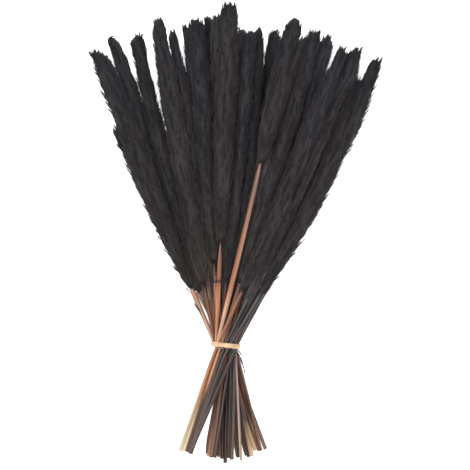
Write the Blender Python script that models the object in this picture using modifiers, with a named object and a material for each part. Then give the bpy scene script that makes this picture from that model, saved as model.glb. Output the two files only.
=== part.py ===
"""A tied bunch of dyed pampas reeds, lying on a flat surface with its plumes towards +Y.

Metres, +Z up. The reeds are laid out with the tie at X = Y = 0 and the surface at Z = 0. At the end
every piece is shifted alike, so that the origin is the bottom centre of the bunch's box.
"""

import math
from dataclasses import dataclass
from itertools import pairwise

import bmesh
import bpy
import numpy as np

COLLECTION = "Bunch of pampas grass"

# The reeds twist through the waist of the bunch, just below the tie. The further right a plume lies,
# the higher its stem crosses the waist, and the higher a plume lies, the further left its stem
# crosses. So no two of the stems meet. They bend a little there, over about BEND_FADE, and are nearly
# straight on both sides of it.
WAIST = 0.003
WAIST_HEIGHT = 0.0280
LEVELS = 6
COLUMN_PITCH = 0.0037
LEAN_RISE = 0.0200
LEAST_RISE = 0.00068
CUT_CLOSING = 2.2
BEND_FADE = 0.015

# How the plumes lie: HEAP_ALONG from the waist each reed has reached its height in the heap.
HEAP_ALONG = 0.220
HEAP_FLOOR = 0.0068
LEVEL_PITCH = 0.0078
HEAP_CROWN = 0.0060
WAIST_SLOPE = 1.65

STEM_BUTT_RADIUS = 0.00175
STEM_RADIUS = 0.0015
STEM_TOP_RADIUS = 0.0012

# Where a stem has corners besides its ends and the middles of its two straight runs.
STEM_BEND = (-0.028, -0.008, 0.012)

# A plume is a loft of rings. Every second corner of a ring is a lock of hair, which stands out and
# leans towards the tip.
PLUME_RINGS = 14
PLUME_SIDES = 8
LOCK_OUT = 1.10
LOCK_IN = 0.86
LOCK_LEAN = 0.35
FOOT_GAP = 0.0011
PLUME_GAP = 0.0010
PLUME_CORE = STEM_RADIUS + PLUME_GAP / 2
CURL_SHARE = 0.12
PLUME_PROFILE = (
    (0.00, 0.24),
    (0.06, 0.52),
    (0.15, 0.80),
    (0.32, 1.00),
    (0.58, 0.98),
    (0.80, 0.84),
    (0.93, 0.70),
    (1.00, 0.42),
)

BAND_WIDTH = 0.0044
BAND_THICKNESS = 0.0010
BAND_GAP = 0.0004
BAND_SLANT = -0.08
BAND_CORNERS = 28


@dataclass(frozen=True)
class Reed:
    """One reed, in metres from the tie: across is towards +X and along is towards +Y.

    tip is the plume's end and cut is the stem's lower end, each across and along. foot is where the
    plume begins along the stem. level is its place in the heap, 0 lying lowest. radius is the
    plume's. cane and hair name the dyes of the stem and the plume. bow and curl bend the reed
    sideways, at its middle and at its tip, and lift raises its plume.
    """

    tip: tuple[float, float]
    foot: float
    cut: tuple[float, float]
    level: int
    radius: float
    bow: float
    cane: str
    hair: str
    curl: float = 0.0
    lift: float = 0.0


# From left to right by their lean.
REEDS = (
    Reed((-0.106, 0.214), 0.054, (0.0391, -0.1025), 2, 0.0100, -0.003, "brown", "brown"),
    Reed((-0.123, 0.288), 0.056, (0.0331, -0.1045), 5, 0.0120, -0.003, "brown", "brown", -0.003),
    Reed((-0.107, 0.303), 0.060, (0.0346, -0.1040), 3, 0.0095, -0.007, "brown", "black", -0.004),
    Reed((-0.087, 0.305), 0.064, (0.0289, -0.1040), 4, 0.0100, -0.006, "brown", "black"),
    Reed((-0.062, 0.262), 0.058, (0.0342, -0.1030), 0, 0.0095, 0.000, "brown", "black"),
    Reed((-0.065, 0.320), 0.078, (0.0204, -0.1090), 5, 0.0110, -0.003, "brown", "brown"),
    Reed((-0.052, 0.308), 0.066, (0.0225, -0.1100), 3, 0.0100, 0.000, "brown", "brown"),
    Reed((-0.038, 0.313), 0.072, (0.0257, -0.1090), 2, 0.0105, 0.001, "brown", "black"),
    Reed((-0.029, 0.320), 0.080, (0.0114, -0.1090), 4, 0.0105, 0.000, "amber", "black"),
    Reed((-0.019, 0.296), 0.064, (0.0124, -0.1070), 1, 0.0095, 0.000, "black", "black"),
    Reed((-0.017, 0.322), 0.070, (0.0150, -0.1125), 0, 0.0095, 0.000, "blush", "black"),
    Reed((-0.008, 0.323), 0.084, (0.0122, -0.1100), 3, 0.0100, 0.000, "black", "brown"),
    Reed((0.004, 0.335), 0.102, (-0.0066, -0.1100), 5, 0.0120, 0.000, "amber", "umber"),
    Reed((0.016, 0.311), 0.070, (-0.0005, -0.1150), 2, 0.0100, 0.001, "black", "black"),
    Reed((0.025, 0.309), 0.076, (-0.0145, -0.1100), 4, 0.0100, 0.000, "black", "black"),
    Reed((0.031, 0.290), 0.060, (0.0025, -0.1100), 1, 0.0095, 0.001, "black", "black"),
    Reed((0.034, 0.313), 0.066, (-0.0036, -0.1110), 3, 0.0100, 0.000, "black", "black"),
    Reed((0.049, 0.309), 0.070, (0.0059, -0.1110), 0, 0.0100, 0.000, "black", "black"),
    Reed((0.055, 0.280), 0.058, (-0.0080, -0.1080), 2, 0.0095, 0.000, "brown", "black"),
    Reed((0.066, 0.320), 0.180, (-0.0411, -0.1040), 5, 0.0100, 0.001, "amber", "umber", 0.001, 0.010),
    Reed((0.078, 0.302), 0.072, (-0.0165, -0.1080), 3, 0.0100, 0.000, "amber", "brown"),
    Reed((0.080, 0.276), 0.056, (-0.0108, -0.1090), 1, 0.0095, 0.000, "black", "black"),
    Reed((0.088, 0.308), 0.066, (-0.0378, -0.1040), 4, 0.0105, 0.001, "brown", "brown"),
    Reed((0.100, 0.304), 0.062, (-0.0137, -0.1080), 2, 0.0105, 0.002, "brown", "brown"),
    Reed((0.114, 0.292), 0.060, (-0.0445, -0.1035), 5, 0.0105, 0.003, "amber", "black"),
    Reed((0.125, 0.291), 0.056, (-0.0345, -0.1040), 3, 0.0105, 0.004, "black", "black", 0.003),
    Reed((0.130, 0.262), 0.052, (-0.0347, -0.1045), 0, 0.0100, 0.004, "black", "black"),
    Reed((0.145, 0.281), 0.054, (-0.0338, -0.1045), 2, 0.0122, 0.010, "black", "brown", 0.003),
)

# Colour, roughness and metallic value of each finish.
STEM_FINISHES = {
    "amber": ((0.72, 0.36, 0.12, 1.0), 0.45, 0.0),
    "blush": ((0.62, 0.42, 0.30, 1.0), 0.45, 0.0),
    "brown": ((0.20, 0.11, 0.07, 1.0), 0.50, 0.0),
    "black": ((0.04, 0.035, 0.035, 1.0), 0.45, 0.0),
}
PLUME_FINISHES = {
    "umber": ((0.046, 0.040, 0.039, 1.0), 0.95, 0.0),
    "brown": ((0.036, 0.032, 0.033, 1.0), 0.95, 0.0),
    "black": ((0.026, 0.024, 0.026, 1.0), 0.95, 0.0),
}
BAND_FINISH = ((0.85, 0.62, 0.48, 1.0), 0.60, 0.0)


def waist_across(reed):
    """Where the stem crosses the waist, to the right of its middle."""
    return ((LEVELS - 1) / 2 - reed.level) * COLUMN_PITCH


def lean_of(reed):
    """The reed's slope across, seen from above."""
    return (reed.tip[0] - waist_across(reed)) / (reed.tip[1] + WAIST)


def waist_heights():
    """How high each stem crosses the waist: above every stem that leans less to the right."""
    steps = [max(LEAST_RISE, LEAN_RISE * (b - a)) for a, b in pairwise(map(lean_of, REEDS))]
    heights = np.concatenate(([0.0], np.cumsum(steps)))
    return dict(zip(REEDS, WAIST_HEIGHT + heights - heights[-1] / 2))


WAIST_HEIGHTS = waist_heights()


def heap_height(reed):
    """The height of the axis where the plumes lie on each other. The heap is lower at its sides."""
    side = lean_of(reed) / lean_of(REEDS[-1])
    height = HEAP_FLOOR + reed.level * LEVEL_PITCH - HEAP_CROWN * side**2
    return max(HEAP_FLOOR, height) + reed.lift


def across_at(reed, along):
    """The axis's X: bent at the waist towards the cut end, bowed above it and curled at the tip."""
    run = along + WAIST
    straight = waist_across(reed) + lean_of(reed) * run
    if run < 0:
        slope = (reed.cut[0] - waist_across(reed)) / (reed.cut[1] + WAIST)
        return straight + run * (slope - lean_of(reed)) * (1 - math.exp(run / BEND_FADE))
    share = max(0.0, along / reed.tip[1])
    curl = reed.curl * max(0.0, 1 - (1 - share) / CURL_SHARE) ** 2
    return straight + 4 * reed.bow * share * (1 - share) + curl


def height_at(reed, along):
    """The axis's Z. Above the waist it levels out in the heap, and below it the stems close up."""
    start = WAIST_HEIGHTS[reed]
    rise = heap_height(reed) - start
    run = along + WAIST
    share = run / HEAP_ALONG
    if run < 0:
        return start + rise * WAIST_SLOPE * share * (1 + CUT_CLOSING * run)
    return start + rise * share * (WAIST_SLOPE - (WAIST_SLOPE - 1) * share)


def axis_point(reed, along):
    return np.array((across_at(reed, along), along, height_at(reed, along)))


def profile_share(share):
    """The plume's radius at this share of its length, as a share of its full radius."""
    shares, radii = zip(*PLUME_PROFILE)
    return float(np.interp(share, shares, radii))


def radius_at(reed, along):
    """The reed's own reach before its neighbours press on it, or 0 past its ends."""
    if along < reed.foot:
        return STEM_RADIUS if along >= reed.cut[1] else 0.0
    share = (along - reed.foot) / (reed.tip[1] - reed.foot)
    return reed.radius * LOCK_OUT * profile_share(share) if share <= 1 else 0.0


def free_reach(reed, along, direction, wanted):
    """How far the plume reaches this way before it meets a neighbour's share or the surface."""
    centre = axis_point(reed, along)[[0, 2]]
    own = radius_at(reed, along)
    reach = wanted
    for other in REEDS:
        theirs = radius_at(other, along)
        if other is reed or theirs == 0.0:
            continue
        offset = axis_point(other, along)[[0, 2]] - centre
        apart = float(np.hypot(*offset))
        towards = float(direction @ offset) / apart
        if towards <= 0 or apart > own + theirs:
            continue
        split = apart * own / (own + theirs)
        split = min(max(split, PLUME_CORE), apart - PLUME_CORE) - PLUME_GAP / 2
        reach = min(reach, split / towards)
    if direction[1] < 0:
        reach = min(reach, centre[1] / -direction[1])
    return reach


def plume_rings(reed):
    """The plume's corners, ring by ring from its foot, each ring a list of points."""
    start = reed.foot + FOOT_GAP
    pitch = (reed.tip[1] - start) / (PLUME_RINGS - 1)
    rings = []
    for number in range(PLUME_RINGS):
        is_end = number in (0, PLUME_RINGS - 1)
        wanted = reed.radius * profile_share(number / (PLUME_RINGS - 1))
        ring = []
        for side in range(PLUME_SIDES):
            is_lock = (side + number) % 2 == 0 and not is_end
            stand = LOCK_OUT if is_lock else 1.0 if is_end else LOCK_IN
            along = start + (number + LOCK_LEAN * is_lock) * pitch
            angle = math.tau * side / PLUME_SIDES
            direction = np.array((math.cos(angle), math.sin(angle)))
            reach = free_reach(reed, along, direction, wanted * stand)
            across, _, height = axis_point(reed, along)
            ring.append((across + direction[0] * reach, along, height + direction[1] * reach))
        rings.append(ring)
    return rings


def finish(name, colour, roughness, metallic):
    """A Principled material of one colour, made once for each name."""
    material = bpy.data.materials.get(name) or bpy.data.materials.new(name)
    material.use_nodes = True
    shader = material.node_tree.nodes["Principled BSDF"]
    shader.inputs["Base Color"].default_value = colour
    shader.inputs["Roughness"].default_value = roughness
    shader.inputs["Metallic"].default_value = metallic
    return material


def place_in(collection, name, data, material):
    data.materials.append(material)
    piece = bpy.data.objects.new(name, data)
    collection.objects.link(piece)
    return piece


def mesh_of(shape, name):
    """The mesh of this bmesh, with its faces turned outwards."""
    bmesh.ops.recalc_face_normals(shape, faces=shape.faces)
    mesh = bpy.data.meshes.new(name)
    shape.to_mesh(mesh)
    shape.free()
    return mesh


def bridge(shape, lower, upper):
    """Joins two rings of as many corners with a belt of faces."""
    corners = list(zip(lower, upper))
    for (low, high), (next_low, next_high) in pairwise(corners + corners[:1]):
        shape.faces.new((low, high, next_high, next_low))


def add_plume(collection, name, reed):
    """A loft between unlike rings, closed by a flat face at the foot and another at the tip."""
    shape = bmesh.new()
    rings = [[shape.verts.new(corner) for corner in ring] for ring in plume_rings(reed)]
    for lower, upper in pairwise(rings):
        bridge(shape, lower, upper)
    shape.faces.new(rings[0])
    shape.faces.new(rings[-1])
    material = finish("Plume " + reed.hair, *PLUME_FINISHES[reed.hair])
    return place_in(collection, name, mesh_of(shape, name), material)


def add_stem(collection, name, reed):
    """A cane from its cut end to the foot of its plume, thickest at the cut."""
    curve = bpy.data.curves.new(name, "CURVE")
    curve.dimensions = "3D"
    curve.bevel_depth = STEM_RADIUS
    curve.bevel_resolution = 2
    curve.use_fill_caps = True
    spline = curve.splines.new("POLY")
    halves = (reed.cut[1] + STEM_BEND[0]) / 2, (STEM_BEND[-1] + reed.foot) / 2
    corners = (reed.cut[1], halves[0], *STEM_BEND, halves[1], reed.foot)
    spline.points.add(len(corners) - 1)
    places = (reed.cut[1], 0.0, reed.foot)
    radii = (STEM_BUTT_RADIUS, STEM_RADIUS, STEM_TOP_RADIUS)
    for point, along in zip(spline.points, corners):
        point.co = (*axis_point(reed, along), 1.0)
        point.radius = np.interp(along, places, radii) / STEM_RADIUS
    material = finish("Stem " + reed.cane, *STEM_FINISHES[reed.cane])
    return place_in(collection, name, curve, material)


def band_outline():
    """The strap's inner corners, as (across, height): where lines that touch the stems cross."""
    centres = []
    for reed in REEDS:
        middle = BAND_SLANT * across_at(reed, 0.0)
        for edge in (-BAND_WIDTH / 2, BAND_WIDTH / 2):
            centres.append(axis_point(reed, middle + edge)[[0, 2]])
    angles = [math.tau * number / BAND_CORNERS for number in range(BAND_CORNERS + 1)]
    normals = [np.array((math.cos(angle), math.sin(angle))) for angle in angles]
    reaches = [max(centre @ normal for centre in centres) for normal in normals]
    clear = STEM_RADIUS + BAND_GAP
    return [
        np.linalg.solve(np.array(pair), np.array(reach) + clear)
        for pair, reach in zip(pairwise(normals), pairwise(reaches))
    ]


def add_band(collection, name):
    """One flat strap round the stems, slanting a little, with its thickness outwards."""
    shape = bmesh.new()
    rims = []
    for edge in (-BAND_WIDTH / 2, BAND_WIDTH / 2):
        rims.append([shape.verts.new((x, edge + BAND_SLANT * x, z)) for x, z in band_outline()])
    bridge(shape, *rims)
    band = place_in(collection, name, mesh_of(shape, name), finish("Band elastic", *BAND_FINISH))
    wall = band.modifiers.new("Thickness", "SOLIDIFY")
    wall.thickness = BAND_THICKNESS
    wall.offset = 1.0
    wall.use_even_offset = True
    return band


def corners_of(piece, graph):
    """The corners of the piece's final mesh."""
    evaluated = piece.evaluated_get(graph)
    return [evaluated.matrix_world @ vertex.co for vertex in evaluated.to_mesh().vertices]


def stand_on_origin(pieces):
    """Shifts every piece alike, so that the origin is the bottom centre of the bunch's box."""
    graph = bpy.context.evaluated_depsgraph_get()
    points = np.array([corner for piece in pieces for corner in corners_of(piece, graph)])
    low = points.min(axis=0)
    middle = (low + points.max(axis=0)) / 2
    for piece in pieces:
        piece.location = (-middle[0], -middle[1], -low[2])


def main():
    for old in list(bpy.data.objects):
        bpy.data.objects.remove(old, do_unlink=True)
    collection = bpy.data.collections.new(COLLECTION)
    bpy.context.scene.collection.children.link(collection)
    pieces = [add_band(collection, "band")]
    for number, reed in enumerate(REEDS, start=1):
        pieces.append(add_stem(collection, f"stem_{number:02d}", reed))
        pieces.append(add_plume(collection, f"plume_{number:02d}", reed))
    stand_on_origin(pieces)


main()
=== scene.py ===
"""Dresses the tied bunch of dyed pampas reeds and lights it for a picture taken from straight above.

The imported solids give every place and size. Each plume's solid is replaced by its hair, each stem by
a cane with growth rings and a cut end, and the band by a flat elastic strap. Loose leaf sheaths,
torn shreds and thin wisps lie beside the canes. Lengths are metres, unless a note says otherwise.
"""

import logging
import math
from dataclasses import dataclass, replace
from enum import Enum
from itertools import pairwise

import bpy
import numpy as np
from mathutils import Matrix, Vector

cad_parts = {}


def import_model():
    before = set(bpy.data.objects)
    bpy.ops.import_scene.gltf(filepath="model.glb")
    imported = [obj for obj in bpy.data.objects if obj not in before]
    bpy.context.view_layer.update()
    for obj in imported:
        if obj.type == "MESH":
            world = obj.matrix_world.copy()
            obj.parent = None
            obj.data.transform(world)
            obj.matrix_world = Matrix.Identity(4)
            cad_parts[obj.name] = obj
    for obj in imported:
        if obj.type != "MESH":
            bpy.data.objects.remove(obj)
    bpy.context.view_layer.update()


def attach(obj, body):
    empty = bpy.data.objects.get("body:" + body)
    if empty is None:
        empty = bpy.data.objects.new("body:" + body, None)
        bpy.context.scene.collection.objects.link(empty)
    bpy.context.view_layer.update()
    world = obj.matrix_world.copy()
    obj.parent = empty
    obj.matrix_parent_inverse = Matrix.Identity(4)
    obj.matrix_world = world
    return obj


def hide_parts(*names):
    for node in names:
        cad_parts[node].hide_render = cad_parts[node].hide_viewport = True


LOG = logging.getLogger("pampas bunch")
BODY = "root"
BAKE_MAP = "OFBake"
TONE = "tone"
GRAIN = "grain"
RING = "ring"
FADE = "fade"

# Where the tie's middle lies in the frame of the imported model, seen from above. Places on the picture
# are given from it, across to the right and along towards the plumes.
TIE = np.array((-0.01104, -0.10997))
# How many times as much light a leaf sends back as a cane of the same dye, and the most it can. This is
# partly the paler colour of a dried sheath and partly painted light that lifts the shade of the gaps that the
# leaves lie in.
LEAF_PALER_AND_LIFT = 1.5
LEAF_PALEST = 0.80
# How high above the table hair lies that would otherwise pass through it.
PRESSED = 0.0003
# Clumps that follow each other by this share of a turn are spread evenly round a plume.
GOLDEN_TURN = 0.61803398875
# The knots of a single hair, and the shares of its length where they are.
KNOTS = 4
STEPS = np.linspace(0.0, 1.0, KNOTS)
# The rows of the map: hairs fill it up to the first one, and a plume's core lies above them, with
# the cap of its foot below it and the cap of its tip over it.
HAIR_MAP = 0.81
CORE_MAP = (0.82, 0.98)
FOOT_MAP = (0.812, 0.818)
TIP_MAP = (0.984, 0.998)

Colour = tuple[float, float, float, float]
Cells = tuple[float, float, float]


def dye(red: int, green: int, blue: int) -> Colour:
    """A colour as a screen shows it, turned into the linear values that a shader takes.

    Args:
        red: The red part, 0 to 255.
        green: The green part, 0 to 255.
        blue: The blue part, 0 to 255.

    Returns:
        Linear red, green, blue and full opacity.
    """
    parts = [channel / 255 for channel in (red, green, blue)]
    linear = [part / 12.92 if part <= 0.04045 else ((part + 0.055) / 1.055) ** 2.4 for part in parts]
    return (linear[0], linear[1], linear[2], 1.0)


def smooth(share: np.ndarray) -> np.ndarray:
    """Eases a rise from 0 to 1, so that it starts and ends gently."""
    return share * share * (3 - 2 * share)


def outwards(angle: np.ndarray) -> np.ndarray:
    """The directions that point away from a line along the bunch, at angles round it."""
    return np.stack((np.cos(angle), np.zeros_like(angle), np.sin(angle)), -1)


def carry(mesh: bpy.types.Mesh, name: str, values: np.ndarray) -> None:
    """Gives each point of a mesh a value or a vector for its material to read.

    Args:
        mesh: The mesh.
        name: The attribute's name.
        values: A value or a vector for each point.
    """
    kind, part = ("FLOAT_VECTOR", "vector") if values.ndim == 2 else ("FLOAT", "value")
    attribute = mesh.attributes.new(name, kind, "POINT")
    attribute.data.foreach_set(part, values.astype(np.float32).ravel())


class HairDye(Enum):
    """The dyes of the plumes, each by its slot."""

    UMBER = "plume_umber"
    BROWN = "plume_brown"
    BLACK = "plume_black"


class CaneDye(Enum):
    """The dyes of the canes, by how they look."""

    APRICOT = "pale orange, peach at the tie"
    STRAW = "orange over straw"
    AMBER = "orange"
    ROSE = "pinkish brown"
    MAUVE = "mauve brown over dark grey"
    BLUSH = "pinkish beige"
    RUST = "reddish brown over tan"
    TAN = "dark brown over light tan"
    OLIVE = "dark brown over olive tan"
    BARK = "reddish dark brown over brown"
    CORK = "tan brown over pinkish brown"
    SEPIA = "dark brown"
    SLATE = "slate grey"
    BLACK = "black"


class NodeBench:
    """A material's node tree, with short calls that add nodes and join them."""

    def __init__(self, name: str) -> None:
        """Makes an empty Principled material.

        Args:
            name: The material's name.
        """
        self.material = bpy.data.materials.new(name)
        self.material.use_nodes = True
        self.tree = self.material.node_tree
        self.shader = self.tree.nodes["Principled BSDF"]

    def add(self, kind: str, **settings: object) -> bpy.types.Node:
        """Adds a node.

        Args:
            kind: The node's Blender type.
            **settings: Values for the node's properties, or for its inputs by name where it has
                no such property, with underscores for spaces.

        Returns:
            The new node.
        """
        node = self.tree.nodes.new(kind)
        for key, value in settings.items():
            if hasattr(node, key):
                setattr(node, key, value)
            else:
                node.inputs[key.replace("_", " ")].default_value = value
        return node

    def join(self, source: bpy.types.NodeSocket, target: bpy.types.NodeSocket) -> None:
        """Links an output to an input."""
        self.tree.links.new(source, target)

    def ramp(
        self, source: bpy.types.NodeSocket, stops: tuple[tuple[float, Colour], ...]
    ) -> bpy.types.NodeSocket:
        """Turns a value into a colour.

        Args:
            source: The value's output.
            stops: Places from 0 to 1, each with its colour.

        Returns:
            The colour's output.
        """
        node = self.add("ShaderNodeValToRGB")
        band = node.color_ramp
        while len(band.elements) < len(stops):
            band.elements.new(0.5)
        for element, (place, colour) in zip(band.elements, stops):
            element.position = place
            element.color = colour
        self.join(source, node.inputs["Fac"])
        return node.outputs["Color"]

    def blend(
        self,
        share: bpy.types.NodeSocket | float,
        first: bpy.types.NodeSocket | Colour,
        second: bpy.types.NodeSocket | Colour,
        way: str = "MIX",
    ) -> bpy.types.NodeSocket:
        """Mixes two colours.

        Args:
            share: How much of the second one shows, or the output that says it.
            first: A colour or a colour's output.
            second: A colour or a colour's output.
            way: How they mix, such as MIX or MULTIPLY.

        Returns:
            The mixed colour's output.
        """
        node = self.add("ShaderNodeMix", data_type="RGBA", blend_type=way)
        for socket, value in ((node.inputs[0], share), (node.inputs[6], first), (node.inputs[7], second)):
            if isinstance(value, (float, tuple)):
                socket.default_value = value
            else:
                self.join(value, socket)
        return node.outputs[2]

    def spread(
        self,
        source: bpy.types.NodeSocket,
        low: float,
        high: float,
        to_low: float = 0.0,
        to_high: float = 1.0,
    ) -> bpy.types.NodeSocket:
        """Stretches a range of values onto another, and cuts off what lies past it.

        Args:
            source: The value's output.
            low: The value that becomes to_low.
            high: The value that becomes to_high.
            to_low: The first end of the new range.
            to_high: The other end of the new range.

        Returns:
            The new value's output.
        """
        node = self.add("ShaderNodeMapRange", clamp=True)
        self.join(source, node.inputs["Value"])
        for name, value in (("From Min", low), ("From Max", high), ("To Min", to_low), ("To Max", to_high)):
            node.inputs[name].default_value = value
        return node.outputs["Result"]

    def noise(self, place: bpy.types.NodeSocket, cells: Cells, detail: float = 3.0) -> bpy.types.NodeSocket:
        """Noise over a place that is stretched first.

        Args:
            place: The output of the coordinates.
            cells: How many cells the noise has in a metre along each axis.
            detail: How many finer layers it has.

        Returns:
            The noise's value, about 0.5 in the middle.
        """
        mapping = self.add("ShaderNodeMapping", Scale=cells)
        self.join(place, mapping.inputs["Vector"])
        node = self.add("ShaderNodeTexNoise", Scale=1.0, Detail=detail)
        self.join(mapping.outputs["Vector"], node.inputs["Vector"])
        return node.outputs["Fac"]

    def place(self) -> bpy.types.NodeSocket:
        """The output of the Object coordinates."""
        return self.add("ShaderNodeTexCoord").outputs["Object"]

    def part(self, vector: bpy.types.NodeSocket, axis: str) -> bpy.types.NodeSocket:
        """Takes one part out of a vector.

        Args:
            vector: The vector's output.
            axis: The part's letter, X, Y or Z.

        Returns:
            The part's output.
        """
        node = self.add("ShaderNodeSeparateXYZ")
        self.join(vector, node.inputs[0])
        return node.outputs[axis]

    def carried(self, name: str, output: str) -> bpy.types.NodeSocket:
        """The output of an attribute that the mesh carries."""
        return self.add("ShaderNodeAttribute", attribute_name=name).outputs[output]

    def settle(self, **values: object) -> None:
        """Sets inputs of the shader by name, with underscores for spaces."""
        for name, value in values.items():
            self.shader.inputs[name.replace("_", " ")].default_value = value

    def emboss(self, height: bpy.types.NodeSocket, strength: float, distance: float) -> None:
        """Raises the surface a little where the height is great.

        Args:
            height: The height's output.
            strength: The share of the effect.
            distance: How high a height of 1 stands.
        """
        node = self.add("ShaderNodeBump", Strength=strength, Distance=distance)
        self.join(height, node.inputs["Height"])
        self.join(node.outputs["Normal"], self.shader.inputs["Normal"])


@dataclass(frozen=True)
class HairFinish:
    """Soft, matt, dyed hair: dark in its depth, paler at the ends of its locks, and cooler at the tips
    of the plumes than at their feet. The stops are the tones of its four dyes, and the swing is what a
    patch adds to the tone at most. The span is where along the bunch the foot's tint turns into the
    tip's. The patches, the hues and the fuzz are given by their cells in a metre."""

    deep: Colour
    body: Colour
    lit: Colour
    ends: Colour
    warm: Colour = (1.0, 0.95, 0.90, 1.0)
    cool: Colour = (0.95, 0.95, 1.0, 1.0)
    tip: Colour = (0.94, 0.98, 1.10, 1.0)
    foot: Colour = (1.07, 1.0, 0.90, 1.0)
    span: tuple[float, float] = (-0.06, 0.19)
    stops: tuple[float, ...] = (0.0, 0.40, 0.74, 1.0)
    swing: float = 0.07
    patches: Cells = (26.0, 10.0, 26.0)
    hues: Cells = (34.0, 8.0, 34.0)
    fuzz: Cells = (900.0, 140.0, 900.0)
    relief: float = 0.0002
    sheen: float = 0.10
    sheen_roughness: float = 0.55
    roughness: float = 0.80
    gloss: float = 0.25

    def material(self, name: str) -> bpy.types.Material:
        """Makes the material.

        Args:
            name: The material's name.

        Returns:
            The finished material.
        """
        bench = NodeBench(name)
        place = bench.place()
        tone = bench.add("ShaderNodeMath", operation="MULTIPLY_ADD")
        patches = bench.noise(place, self.patches, 2.0)
        bench.join(bench.spread(patches, 0.3, 0.7, -1.0, 1.0), tone.inputs[0])
        tone.inputs[1].default_value = self.swing
        bench.join(bench.carried(TONE, "Fac"), tone.inputs[2])
        dyes = zip(self.stops, (self.deep, self.body, self.lit, self.ends))
        tinted = bench.ramp(tone.outputs[0], tuple(dyes))
        hue = bench.spread(bench.noise(place, self.hues), 0.38, 0.62)
        along = bench.spread(bench.part(place, "Y"), *self.span)
        for tint in (bench.blend(hue, self.cool, self.warm), bench.blend(along, self.foot, self.tip)):
            tinted = bench.blend(1.0, tinted, tint, "MULTIPLY")
        bench.join(tinted, bench.shader.inputs["Base Color"])
        bench.settle(
            Roughness=self.roughness,
            Specular_IOR_Level=self.gloss,
            Sheen_Weight=self.sheen,
            Sheen_Roughness=self.sheen_roughness,
            Sheen_Tint=self.ends,
        )
        bench.emboss(bench.noise(place, self.fuzz, 2.0), 0.4, self.relief)
        return bench.material


@dataclass(frozen=True)
class CaneFinish:
    """A dyed cane, streaked along its length and darker at its growth rings. Its colour goes from the
    one of its cut end over those below, at and above the tie to the one of its top, which it has
    reached at fall metres from the tie. The spots are where the middle three stand, and the span is
    the stretch that all lie in, both from the tie. The fine and broad streaks and the fibres are given
    by their cells in a metre."""

    cut: Colour
    low: Colour
    tie: Colour
    high: Colour
    top: Colour
    streak: Colour
    fall: float = 0.150
    spots: tuple[float, ...] = (-0.030, 0.004, 0.055)
    span: tuple[float, float] = (-0.12, 0.18)
    ring: Colour = dye(52, 30, 34)
    stain: Colour = dye(176, 162, 158)
    streaks: float = 0.55
    fine: Cells = (1100.0, 1100.0, 14.0)
    broad: Cells = (380.0, 380.0, 7.0)
    fibres: Cells = (2200.0, 2200.0, 14.0)
    relief: float = 0.0002
    roughness: float = 0.28
    gloss: float = 0.30

    def material(self, name: str) -> bpy.types.Material:
        """Makes the material.

        Args:
            name: The material's name.

        Returns:
            The finished material.
        """
        bench = NodeBench(name)
        grain = bench.carried(GRAIN, "Vector")
        low, high = self.span
        dyes = zip((*self.spots, self.fall), (self.low, self.tie, self.high, self.top))
        stops = tuple(((spot - low) / (high - low), tint) for spot, tint in dyes)
        along = bench.ramp(bench.spread(bench.part(grain, "Z"), low, high), stops)
        base = bench.blend(bench.carried(FADE, "Fac"), along, self.cut)
        fine = bench.noise(grain, self.fine)
        streaked = bench.blend(bench.spread(fine, 0.50, 0.68, 0.0, self.streaks), base, self.streak)
        patches = bench.spread(bench.noise(grain, self.broad, 2.0), 0.40, 0.62, 1.0, 0.0)
        darker = bench.blend(patches, streaked, self.stain, "MULTIPLY")
        ringed = bench.blend(bench.carried(RING, "Fac"), darker, self.ring)
        bench.join(ringed, bench.shader.inputs["Base Color"])
        rough = bench.spread(fine, 0.3, 0.7, self.roughness - 0.06, self.roughness + 0.12)
        bench.join(rough, bench.shader.inputs["Roughness"])
        bench.settle(Specular_IOR_Level=self.gloss)
        bench.emboss(bench.noise(grain, self.fibres, 2.0), 0.45, self.relief)
        return bench.material

    def on_leaf(self, paler: float) -> "CaneFinish":
        """The same dye on a leaf, made paler: partly as a dried sheath is, and partly as painted light that
            lifts the shade of the gaps between canes where the leaves lie.

        Args:
            paler: How many times as much light it sends back.

        Returns:
            The leaf's finish.
        """
        names = ("cut", "low", "tie", "high", "top", "streak")
        tints = {name: [min(part * paler, LEAF_PALEST) for part in getattr(self, name)[:3]] for name in names}
        return replace(self, **{name: (*tint, 1.0) for name, tint in tints.items()})


@dataclass(frozen=True)
class PithFinish:
    """The cut face of a cane: a pale fibrous wall with darker pores, given by their cells in a metre."""

    wall: Colour = dye(222, 198, 158)
    pore: Colour = dye(150, 118, 84)
    pores: Cells = (2600.0, 2600.0, 2600.0)
    relief: float = 0.0003
    roughness: float = 0.85

    def material(self, name: str) -> bpy.types.Material:
        """Makes the material.

        Args:
            name: The material's name.

        Returns:
            The finished material.
        """
        bench = NodeBench(name)
        pores = bench.noise(bench.place(), self.pores, 2.0)
        colour = bench.blend(bench.spread(pores, 0.45, 0.62), self.wall, self.pore)
        bench.join(colour, bench.shader.inputs["Base Color"])
        bench.settle(Roughness=self.roughness)
        bench.emboss(pores, 0.6, self.relief)
        return bench.material


@dataclass(frozen=True)
class ElasticFinish:
    """Pale peach elastic: fine ribs round the strap and a soft, slightly waxy surface. The mottle and
    the ribs are given by their cells in a metre, and the glow is the light that sinks in."""

    face: Colour = dye(203, 168, 134)
    rib: Colour = dye(166, 130, 100)
    mottle: Cells = (130.0, 420.0, 130.0)
    ribs: Cells = (180.0, 2400.0, 180.0)
    relief: float = 0.0003
    roughness: float = 0.58
    glow: float = 0.08
    glow_depth: tuple[float, float, float] = (0.002, 0.001, 0.0006)

    def material(self, name: str) -> bpy.types.Material:
        """Makes the material.

        Args:
            name: The material's name.

        Returns:
            The finished material.
        """
        bench = NodeBench(name)
        place = bench.place()
        mottle = bench.spread(bench.noise(place, self.mottle), 0.44, 0.68)
        bench.join(bench.blend(mottle, self.face, self.rib), bench.shader.inputs["Base Color"])
        bench.settle(
            Roughness=self.roughness, Subsurface_Weight=self.glow, Subsurface_Radius=self.glow_depth
        )
        bench.emboss(bench.noise(place, self.ribs, 2.0), 0.35, self.relief)
        return bench.material


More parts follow.
